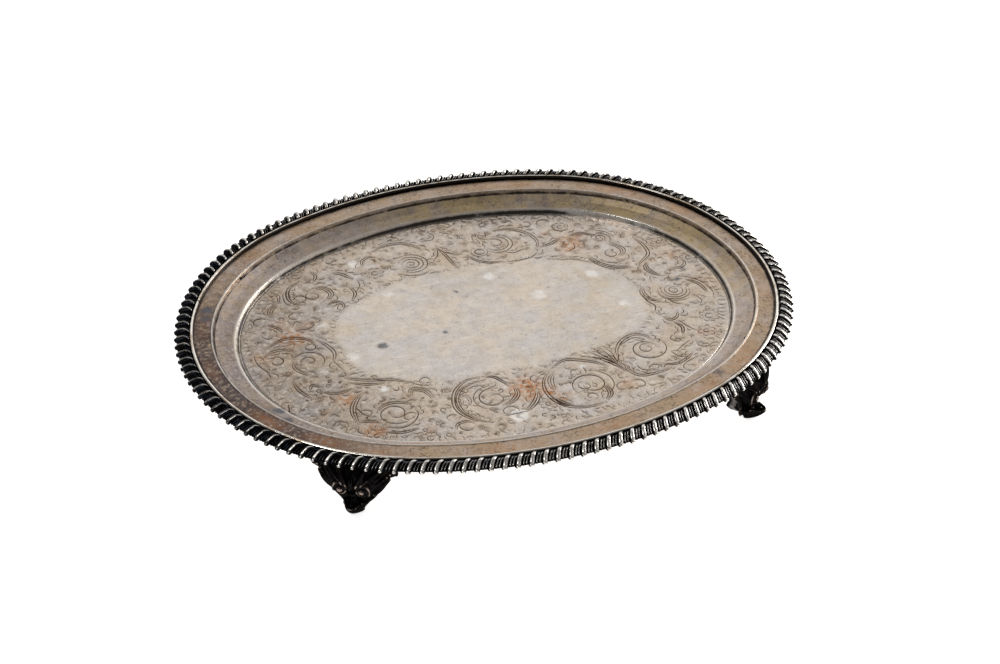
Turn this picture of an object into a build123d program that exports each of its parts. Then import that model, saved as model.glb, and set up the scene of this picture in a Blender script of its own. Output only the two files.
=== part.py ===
"""Oval footed salver in silver plate, in millimetres.

The plan is a four-centre oval: two end arcs and two side arcs, tangent where they meet. Every ring of
the rim keeps one cross-section all round, so each ring is a set of sectors revolved about the arcs'
centres. Offsets are measured outward from the crest of the fillet wire, and heights from the table.
+X is the long way, +Z is up, and the origin is under the middle of the tray, where the toes stand.
"""

import os
from math import atan2, cos, degrees, radians, sin

from build123d import *

os.makedirs("parts", exist_ok=True)

# Plan of the fillet wire's crest
CREST_LENGTH = 330.0
CREST_WIDTH = 270.4
END_RADIUS = 127.0

# Heights above the table
CREST_Z = 35.5
FLANGE_Z = CREST_Z - 2.2
SHOULDER_Z = CREST_Z - 8.5
WELL_Z = CREST_Z - 10.5

# Sheet
SHEET = 1.1
FLANGE_UNDERSIDE_Z = FLANGE_Z - SHEET
SHEET_EDGE = 5.0
FLANGE_INNER = -12.2
WELL_EDGE = -26.0
FLOOR_INNER = -45.0

# Border
GADROONS_PER_END = 44
GADROONS_PER_SIDE = 28
LOBE_RADIUS = 1.5
LOBE_SMALL_RADIUS = 0.7
LOBE_LENGTH = 7.2
LOBE_START = 1.4
LOBE_DROP = 1.7
LOBE_TILT = 5.0
LOBE_SKEW = 22.0

# Fillet wire
SEAM_ANGLE = 152.0
SEAM_GAP = 0.25

# Feet
FOOT_ANGLE = 54.5
FOOT_WIDTH = 46.0
FRONT_THICKNESS = 1.4
BACK_THICKNESS = 1.0
ANKLE_Z = 7.0

# The four-centre oval that follows from the plan
HALF_LENGTH = CREST_LENGTH / 2
HALF_WIDTH = CREST_WIDTH / 2
SIDE_RADIUS = (HALF_LENGTH**2 + HALF_WIDTH**2 - 2 * HALF_LENGTH * END_RADIUS) / (
    2 * (HALF_WIDTH - END_RADIUS)
)
END_CENTRE = HALF_LENGTH - END_RADIUS
SIDE_CENTRE = SIDE_RADIUS - HALF_WIDTH
JOIN_ANGLE = degrees(atan2(SIDE_CENTRE, END_CENTRE))
END_SWEEP = 2 * JOIN_ANGLE
SIDE_SWEEP = 180 - END_SWEEP

# Each arc: centre, crest radius, start angle and sweep, anticlockwise seen from above
RIGHT_ARC = ((END_CENTRE, 0), END_RADIUS, -JOIN_ANGLE, END_SWEEP)
BACK_ARC = ((0, -SIDE_CENTRE), SIDE_RADIUS, JOIN_ANGLE, SIDE_SWEEP)
LEFT_ARC = ((-END_CENTRE, 0), END_RADIUS, 180 - JOIN_ANGLE, END_SWEEP)
FRONT_ARC = ((0, SIDE_CENTRE), SIDE_RADIUS, 180 + JOIN_ANGLE, SIDE_SWEEP)
ARCS = (RIGHT_ARC, BACK_ARC, LEFT_ARC, FRONT_ARC)


def upright_plane(centre, angle):
    """Upright plane through an arc's centre, with local X outward at the angle and local Y up."""
    turn = radians(angle)
    return Plane(
        origin=(*centre, 0),
        x_dir=(cos(turn), sin(turn), 0),
        z_dir=(sin(turn), -cos(turn), 0),
    )


def centre_axis(centre):
    """Upright axis through an arc's centre."""
    return Axis((*centre, 0), (0, 0, 1))


def part_of_arc(arc, start, share):
    """The piece of an arc that starts at one share of its sweep and covers another share."""
    centre, radius, first, sweep = arc
    return centre, radius, first + start * sweep, share * sweep


def placed(radius, points):
    """Cross-section points moved from offset and height to local coordinates on an upright plane."""
    return [(radius + offset, height) for offset, height in points]


# ---------------------------------------------------------------- the sunk sheet
# The upper face from the well outward, as offset, height and corner radius
SHEET_CORNERS = [
    (FLOOR_INNER, WELL_Z, 0),
    (WELL_EDGE, WELL_Z, 0.9),
    (-23.7, SHOULDER_Z - 0.1, 0.7),
    (-18.6, WELL_Z + 3.2, 9.0),
    (-13.2, CREST_Z - 3.7, 1.0),
    (FLANGE_INNER, FLANGE_Z, 0.5),
    (SHEET_EDGE, FLANGE_Z, 0),
]


def sheet_section(radius):
    """Closed cross-section of the sheet: the upper face, and the same line one sheet lower."""
    upper = [(offset, height) for offset, height, _ in SHEET_CORNERS]
    lower = [(offset, height - SHEET) for offset, height in reversed(upper)]
    corner_radii = [corner for _, _, corner in SHEET_CORNERS]
    FilletPolyline(
        *placed(radius, upper + lower),
        radius=corner_radii + corner_radii[::-1],
        close=True,
    )


with BuildPart() as tray_plate:
    for centre, radius, start, sweep in ARCS:
        with BuildSketch(upright_plane(centre, start)):
            with BuildLine():
                sheet_section(radius)
            make_face()
        revolve(axis=centre_axis(centre), revolution_arc=sweep)
    with BuildSketch(Plane.XY.offset(WELL_Z - SHEET)):
        with BuildLine():
            for centre, radius, start, sweep in ARCS:
                CenterArc(centre, radius + FLOOR_INNER, start, sweep)
        make_face()
    extrude(amount=SHEET)
tray_plate.part.label = "tray_plate"
export_step(tray_plate.part, "parts/tray_plate.step")


# ---------------------------------------------------------------- the plain wire inside the border
WIRE_INNER = -1.4
WIRE_OUTER = 1.0
seam_half = degrees(SEAM_GAP / 2 / END_RADIUS)
before_seam = SEAM_ANGLE - seam_half - (180 - JOIN_ANGLE)
after_seam = END_SWEEP - before_seam - 2 * seam_half
WIRE_ARCS = (
    RIGHT_ARC,
    BACK_ARC,
    (LEFT_ARC[0], END_RADIUS, 180 - JOIN_ANGLE, before_seam),
    (LEFT_ARC[0], END_RADIUS, SEAM_ANGLE + seam_half, after_seam),
    FRONT_ARC,
)

with BuildPart() as fillet_wire:
    for centre, radius, start, sweep in WIRE_ARCS:
        with BuildSketch(upright_plane(centre, start)):
            with BuildLine():
                foot_in, shoulder_in, shoulder_out, foot_out = placed(
                    radius,
                    [
                        (WIRE_INNER, FLANGE_Z),
                        (WIRE_INNER, FLANGE_Z + 0.9),
                        (WIRE_OUTER, FLANGE_Z + 0.9),
                        (WIRE_OUTER, FLANGE_Z),
                    ],
                )
                Polyline(shoulder_out, foot_out, foot_in, shoulder_in)
                ThreePointArc(shoulder_in, (radius - 0.2, CREST_Z), shoulder_out)
            make_face()
        revolve(axis=centre_axis(centre), revolution_arc=sweep)
fillet_wire.part.label = "fillet_wire"
export_step(fillet_wire.part, "parts/fillet_wire.step")


# ---------------------------------------------------------------- the gadrooned border
# Six stamped lengths: two to each end arc and one to each side arc
SECTIONS = (
    (part_of_arc(RIGHT_ARC, 0, 0.5), GADROONS_PER_END // 2),
    (part_of_arc(RIGHT_ARC, 0.5, 0.5), GADROONS_PER_END // 2),
    (BACK_ARC, GADROONS_PER_SIDE),
    (part_of_arc(LEFT_ARC, 0, 0.5), GADROONS_PER_END // 2),
    (part_of_arc(LEFT_ARC, 0.5, 0.5), GADROONS_PER_END // 2),
    (FRONT_ARC, GADROONS_PER_SIDE),
)

# The stamping's own wall, between its outer skin and the hollow behind it
SKIN_INNER = 1.2
SKIN_OUTER_TOP = [(1.2, FLANGE_Z + 0.9), (4.6, CREST_Z - 0.75), (7.3, CREST_Z - 2.4)]
SKIN_LIP = [(6.4, FLANGE_UNDERSIDE_Z), (SHEET_EDGE, FLANGE_UNDERSIDE_Z)]
HOLLOW_FOOT = 1.9
HOLLOW_TOP = [(6.5, CREST_Z - 2.3), (4.4, CREST_Z - 1.45), (HOLLOW_FOOT, CREST_Z - 1.85)]
LIP_Z = FLANGE_UNDERSIDE_Z + 0.6

with BuildPart() as lobe:
    with BuildSketch(Plane.XY):
        with BuildLine():
            ball_centre = LOBE_LENGTH - LOBE_RADIUS
            Polyline((LOBE_LENGTH, 0), (0, 0), (0, LOBE_SMALL_RADIUS), (ball_centre, LOBE_RADIUS))
            RadiusArc((ball_centre, LOBE_RADIUS), (LOBE_LENGTH, 0), LOBE_RADIUS)
        make_face()
    revolve(axis=Axis.X)


def lobe_location(centre, radius, angle):
    """Where one lobe stands: on the rim, skewed clockwise and tilted a little down at its tip."""
    turn = radians(angle)
    heading = radians(angle - LOBE_SKEW)
    fall = radians(LOBE_TILT)
    rim = radius + LOBE_START
    return Plane(
        origin=(centre[0] + rim * cos(turn), centre[1] + rim * sin(turn), CREST_Z - LOBE_DROP),
        x_dir=(cos(heading) * cos(fall), sin(heading) * cos(fall), -sin(fall)),
        z_dir=(cos(heading) * sin(fall), sin(heading) * sin(fall), cos(fall)),
    ).location


def lobe_angles(start, sweep, count):
    """Lobe angles along one length, kept clear of its two ends."""
    pitch = sweep / count
    return [start + pitch * (place + 0.72) for place in range(count)]


def hollow_section(radius):
    """Closed cross-section of the hollow behind the stamping, which the solder fills."""
    outer, top, foot = placed(radius, HOLLOW_TOP)
    lip_out, lip_in, sheet_corner, foot_low = placed(
        radius,
        [(6.1, LIP_Z), (SHEET_EDGE, LIP_Z), (SHEET_EDGE, FLANGE_Z), (HOLLOW_FOOT, FLANGE_Z)],
    )
    Polyline(outer, lip_out, lip_in, sheet_corner, foot_low, foot)
    ThreePointArc(foot, top, outer)


for number, ((centre, radius, start, sweep), count) in enumerate(SECTIONS, 1):
    with BuildPart() as mount:
        with BuildSketch(upright_plane(centre, start)):
            with BuildLine():
                skin_foot, skin_top, skin_edge = placed(radius, SKIN_OUTER_TOP)
                lip_out, lip_in, sheet_top, sheet_foot = placed(
                    radius, [*SKIN_LIP, (SHEET_EDGE, FLANGE_Z), (SKIN_INNER, FLANGE_Z)]
                )
                ThreePointArc(skin_foot, skin_top, skin_edge)
                Polyline(skin_edge, lip_out, lip_in, sheet_top, sheet_foot, skin_foot)
            make_face()
        revolve(axis=centre_axis(centre), revolution_arc=sweep)
        with Locations(*[lobe_location(centre, radius, a) for a in lobe_angles(start, sweep, count)]):
            add(lobe.part)
        with BuildSketch(upright_plane(centre, start)):
            with BuildLine():
                hollow_section(radius)
            make_face()
        revolve(axis=centre_axis(centre), revolution_arc=sweep, mode=Mode.SUBTRACT)
        with BuildSketch(upright_plane(centre, start - 5)):
            with BuildLine():
                Polyline(
                    *placed(
                        radius,
                        [
                            (0, FLANGE_Z),
                            (SHEET_EDGE, FLANGE_Z),
                            (SHEET_EDGE, FLANGE_UNDERSIDE_Z - 5),
                            (0, FLANGE_UNDERSIDE_Z - 5),
                        ],
                    ),
                    close=True,
                )
            make_face()
        revolve(axis=centre_axis(centre), revolution_arc=sweep + 10, mode=Mode.SUBTRACT)
    mount.part.label = f"gadroon_mount_{number}"
    export_step(mount.part, f"parts/gadroon_mount_{number}.step")

    with BuildPart() as mount_fill:
        with BuildSketch(upright_plane(centre, start)):
            with BuildLine():
                hollow_section(radius)
            make_face()
        revolve(axis=centre_axis(centre), revolution_arc=sweep)
    mount_fill.part.label = f"mount_fill_{number}"
    export_step(mount_fill.part, f"parts/mount_fill_{number}.step")


# ---------------------------------------------------------------- the bracket feet
# Side view of a foot: the line of its front from the flange down to the ankle, offset and height
FRONT_LINE = [(-2.0, FLANGE_UNDERSIDE_Z), (3.4, 27.0), (6.4, 20.0), (3.0, 13.0), (0.6, ANKLE_Z)]
BACK_LINE = [(-10.5, FLANGE_UNDERSIDE_Z), (-4.6, 26.5), (-1.6, 19.5), (-3.8, 12.5), (-5.2, ANKLE_Z)]
TOE_TOP = [(0.6, ANKLE_Z), (3.6, 6.0), (8.4, 6.2)]
TOE_UNDER = [(7.2, 3.0), (3.0, 0), (-6.0, 0)]

# Front view of a foot: half of its outline, distance from the middle and height
WING_OUTLINE = [
    (FOOT_WIDTH / 2, FLANGE_UNDERSIDE_Z),
    (FOOT_WIDTH / 2, 28.0),
    (19.5, 22.5),
    (16.6, 19.0),
    (13.0, 15.5),
    (8.4, 9.5),
    (6.2, ANKLE_Z),
]
TOE_OUTLINE = [(6.2, ANKLE_Z), (6.4, 3.0), (5.6, 0.0)]
VOLUTE_PLACE = (20.6, 25.0)
VOLUTE_RADIUS = 2.8


def outward_plane(centre, angle):
    """Upright plane through an arc's centre that faces outward, with local X along the rim."""
    turn = radians(angle)
    return Plane(
        origin=(*centre, 0), x_dir=(-sin(turn), cos(turn), 0), z_dir=(cos(turn), sin(turn), 0)
    )


def mirrored(outline):
    """A half outline followed by its mirror image, as one closed run of points."""
    return [*outline, *[(-across, height) for across, height in reversed(outline)]]


def shifted(points, distance):
    """The same line moved outward."""
    return [(offset + distance, height) for offset, height in points]


FEET = (
    (RIGHT_ARC[0], FOOT_ANGLE),
    (LEFT_ARC[0], 180 - FOOT_ANGLE),
    (LEFT_ARC[0], 180 + FOOT_ANGLE),
    (RIGHT_ARC[0], -FOOT_ANGLE),
)

for number, (centre, angle) in enumerate(FEET, 1):
    side = upright_plane(centre, angle)
    front = outward_plane(centre, angle)
    front_line = placed(END_RADIUS, FRONT_LINE)
    back_line = placed(END_RADIUS, BACK_LINE)
    fill_front = shifted(front_line, -FRONT_THICKNESS)
    fill_back = shifted(back_line, BACK_THICKNESS)
    layers = (
        ("front", front_line, fill_front),
        ("fill", fill_front, fill_back),
        ("back", fill_back, back_line),
    )

    for layer, near, far in layers:
        with BuildPart() as bracket:
            with BuildSketch(side):
                with BuildLine():
                    Spline(*near)
                    Line(near[-1], far[-1])
                    Spline(*reversed(far))
                    Line(far[0], near[0])
                make_face()
            extrude(amount=FOOT_WIDTH / 2, both=True)
            with BuildSketch(front):
                with BuildLine():
                    Polyline(*mirrored(WING_OUTLINE), close=True)
                make_face()
                with Locations(VOLUTE_PLACE, (-VOLUTE_PLACE[0], VOLUTE_PLACE[1])):
                    Circle(VOLUTE_RADIUS)
            extrude(amount=END_RADIUS + FOOT_WIDTH, mode=Mode.INTERSECT)
        bracket.part.label = f"foot_{number}_{layer}"
        export_step(bracket.part, f"parts/foot_{number}_{layer}.step")

    with BuildPart() as toe:
        toe_top = placed(END_RADIUS, TOE_TOP)
        toe_tip, sole_front, sole_back = placed(END_RADIUS, TOE_UNDER)
        with BuildSketch(side):
            with BuildLine():
                Spline(*toe_top)
                ThreePointArc(toe_top[-1], toe_tip, sole_front)
                Polyline(sole_front, sole_back, back_line[-1], toe_top[0])
            make_face()
        extrude(amount=FOOT_WIDTH / 2, both=True)
        with BuildSketch(front):
            with BuildLine():
                Polyline(*mirrored(TOE_OUTLINE), close=True)
            make_face()
        extrude(amount=END_RADIUS + FOOT_WIDTH, mode=Mode.INTERSECT)
    toe.part.label = f"foot_{number}_toe"
    export_step(toe.part, f"parts/foot_{number}_toe.step")
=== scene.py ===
"""Looks for the oval footed salver: tarnished silver plate, engraved well, gadrooned border and bracket feet.

Shapes are worked out in millimetres in the frame of the CAD model and turned into metres when a mesh is made.
Offsets are measured outward from the crest of the fillet wire.
Turns are the direction of the rim's normal.
"""

import math

import bpy
import numpy as np
from mathutils import Matrix, Vector, geometry, kdtree


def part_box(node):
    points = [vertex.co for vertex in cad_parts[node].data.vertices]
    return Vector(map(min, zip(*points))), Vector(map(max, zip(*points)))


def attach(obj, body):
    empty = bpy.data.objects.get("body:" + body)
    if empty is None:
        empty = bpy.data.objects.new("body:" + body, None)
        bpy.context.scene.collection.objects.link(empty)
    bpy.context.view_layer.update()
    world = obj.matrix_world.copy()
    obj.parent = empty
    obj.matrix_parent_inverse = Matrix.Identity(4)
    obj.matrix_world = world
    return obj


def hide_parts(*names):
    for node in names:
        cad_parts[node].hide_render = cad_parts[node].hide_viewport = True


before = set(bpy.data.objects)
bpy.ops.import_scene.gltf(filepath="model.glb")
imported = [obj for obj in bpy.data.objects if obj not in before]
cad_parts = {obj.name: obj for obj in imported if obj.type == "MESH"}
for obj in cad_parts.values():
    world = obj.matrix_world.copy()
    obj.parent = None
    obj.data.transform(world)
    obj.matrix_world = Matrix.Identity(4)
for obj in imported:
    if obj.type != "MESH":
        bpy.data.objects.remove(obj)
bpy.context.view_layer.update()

MM = 0.001

# ---------------------------------------------------------------- driving dimensions, in millimetres
WIRE_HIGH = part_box("fillet_wire")[1] / MM
SHEET_LOW, SHEET_HIGH = (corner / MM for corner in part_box("tray_plate"))
WIRE_INNER = -1.4
WIRE_OUTER = 1.0
HALF_LENGTH = WIRE_HIGH.x - WIRE_OUTER
HALF_WIDTH = WIRE_HIGH.y - WIRE_OUTER
END_RADIUS = 127.0
SHEET = 1.1
CREST_Z = WIRE_HIGH.z
FLANGE_Z = SHEET_HIGH.z
WELL_Z = SHEET_LOW.z + SHEET
SHEET_EDGE = 5.0
WELL_SEAM = -26.1

SIDE_RADIUS = (HALF_LENGTH**2 + HALF_WIDTH**2 - 2 * HALF_LENGTH * END_RADIUS) / (
    2 * (HALF_WIDTH - END_RADIUS)
)
END_CENTRE = HALF_LENGTH - END_RADIUS
SIDE_CENTRE = SIDE_RADIUS - HALF_WIDTH
JOIN = math.atan2(SIDE_CENTRE, END_CENTRE)

# The oval's arcs from the +X end, anticlockwise: where each begins, its centre and its radius
ARC_STARTS = np.array([0, JOIN, math.pi - JOIN, math.pi + JOIN, 2 * math.pi - JOIN])
ARC_CENTRES = np.array(
    [(END_CENTRE, 0), (0, -SIDE_CENTRE), (-END_CENTRE, 0), (0, SIDE_CENTRE), (END_CENTRE, 0)]
)
ARC_RADII = np.array([END_RADIUS, SIDE_RADIUS, END_RADIUS, SIDE_RADIUS, END_RADIUS])
FULL_TURN = 2 * math.pi


# ---------------------------------------------------------------- plan and mesh helpers
def rim_points(turns, offsets):
    """Plan points at an offset from the crest line, for each turn of the normal."""
    turns = np.asarray(turns, float)
    arc = np.searchsorted(ARC_STARTS, turns % FULL_TURN, side="right") - 1
    reach = ARC_RADII[arc] + offsets
    return ARC_CENTRES[arc] + np.stack([np.cos(turns), np.sin(turns)], -1) * reach[..., None]


def even_turns(first, last, count):
    """Turns from first to last, evenly spaced along the crest line, both ends included."""
    fine = np.linspace(first, last, 4001)
    middle = (fine[1:] + fine[:-1]) / 2
    arc = np.searchsorted(ARC_STARTS, middle % FULL_TURN, side="right") - 1
    travelled = np.concatenate([[0], np.cumsum(ARC_RADII[arc] * np.diff(fine))])
    return np.interp(np.linspace(0, travelled[-1], count), travelled, fine)


def rounded_line(corners, arc_steps=6):
    """Rows of offset, height and sway of a profile whose corners, given with a radius, are rounded."""
    rows = [np.array(corners[0][:3], float)]
    for before, corner, after in zip(corners, corners[1:], corners[2:]):
        here = np.array(corner[:3], float)
        back = np.array(before[:3], float) - here
        ahead = np.array(after[:3], float) - here
        back_length, ahead_length = np.hypot(*back[:2]), np.hypot(*ahead[:2])
        cosine = np.dot(back[:2], ahead[:2]) / (back_length * ahead_length)
        cut = corner[3] / math.tan(math.acos(np.clip(cosine, -1, 1)) / 2)
        cut = min(cut, 0.45 * back_length, 0.45 * ahead_length)
        start, end = here + back * cut / back_length, here + ahead * cut / ahead_length
        for t in np.linspace(0, 1, arc_steps):
            rows.append((1 - t) ** 2 * start + 2 * t * (1 - t) * here + t**2 * end)
    rows.append(np.array(corners[-1][:3], float))
    return np.array(rows)


def subdivided(rows, longest):
    """The same profile with long stretches divided."""
    made = [rows[0]]
    for before, after in zip(rows, rows[1:]):
        parts = max(1, int(np.ceil(np.hypot(*(after - before)[:2]) / longest)))
        made += [before + (after - before) * k / parts for k in range(1, parts + 1)]
    return np.array(made)


def grid_faces(across, along, wrap_across=False, wrap_along=False):
    """Four-sided faces of a grid of points numbered along first."""
    i = np.arange(across if wrap_across else across - 1)
    j = np.arange(along if wrap_along else along - 1)
    i, j = (axis.ravel() for axis in np.meshgrid(i, j, indexing="ij"))
    i2, j2 = (i + 1) % across, (j + 1) % along
    return np.stack([i * along + j, i * along + j2, i2 * along + j2, i2 * along + j], -1).tolist()


# The rim is pushed up a little along one long side: by how much, over what width, and over what height
BENT_UP = 1.7
BENT_FROM = 20
BENT_OVER = 90
BENT_RISE = 3


def bent_up(points):
    """Points with everything above the well raised along the bent side."""
    raised = np.array(points, float)
    side = np.clip((raised[:, 1] - BENT_FROM) / BENT_OVER, 0, 1)
    raised[:, 2] += BENT_UP * side * np.clip((raised[:, 2] - WELL_Z) / BENT_RISE, 0, 1)
    return raised


def make_piece(name, points, faces, marks=None):
    """A mesh object from points in millimetres, with named values at its points."""
    mesh = bpy.data.meshes.new(name)
    mesh.from_pydata((bent_up(points) * MM).tolist(), [], faces)
    mesh.validate()
    for mark, values in (marks or {}).items():
        layer = mesh.attributes.new(mark, "FLOAT", "POINT")
        layer.data.foreach_set("value", np.asarray(values, np.float32).ravel())
    mesh.shade_smooth()
    piece = bpy.data.objects.new(name, mesh)
    bpy.context.scene.collection.objects.link(piece)
    return piece


def finish_piece(piece, material, slot, *nodes):
    """Material, body and the CAD nodes that a piece stands for; the slot is not used."""
    piece.data.materials.append(material)
    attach(piece, "root")
    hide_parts(*nodes)
    return piece


def ripple(x, y):
    """Slow unevenness of hand-raised sheet, about one unit high."""
    return (
        np.sin(0.061 * x + 0.043 * y + 1.3)
        + 0.8 * np.sin(0.11 * y - 0.052 * x + 0.4)
        + 0.6 * np.sin(0.19 * x + 0.13 * y + 2.2)
        + 0.4 * np.sin(0.33 * y - 0.27 * x)
    ) / 2.8


def tree_of(points):
    """A search tree of plan points."""
    tree = kdtree.KDTree(len(points))
    for number, (x, y) in enumerate(points):
        tree.insert((x, y, 0), number)
    tree.balance()
    return tree


def left_of(line):
    """The direction to the left of a plan line at each of its points."""
    along = np.gradient(line, axis=0)
    along /= np.maximum(np.hypot(*along.T), 1e-9)[:, None]
    return np.stack([-along[:, 1], along[:, 0]], -1)


def travelled(line):
    """The distance along a plan line at each of its points."""
    return np.concatenate([[0], np.cumsum(np.hypot(*np.diff(line, axis=0).T))])


def evenly(line, count):
    """The same plan line as a number of evenly spaced points."""
    along = travelled(line)
    places = np.linspace(0, along[-1], count)
    return np.stack([np.interp(places, along, line[:, k]) for k in (0, 1)], -1)


def spots(x, y, places):
    """Soft round patches: the strongest of those given as x, y, radius and strength."""
    strength = np.zeros(np.shape(x))
    for place_x, place_y, radius, amount in places:
        distance = np.hypot(x - place_x, y - place_y) / radius
        strength = np.maximum(strength, amount * np.clip(1.25 - distance, 0, 1))
    return strength


# ---------------------------------------------------------------- engraving, drawn from listed lines
STEP = 0.6
BOLD = 1.2
SEED = 7
FILLING_COUNT = 620
TRIES_EACH = 60
EDGE_COMMAS = 190
# Room that a filling stroke needs at its start and along its line, and how far it starts from the others
START_ROOM = 1.7
LINE_ROOM = 0.75
OTHERS_ROOM = 2.3
# Half the length and half the width of the plain grid that the well is meshed on
GRID_REACH = (142, 112)

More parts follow.
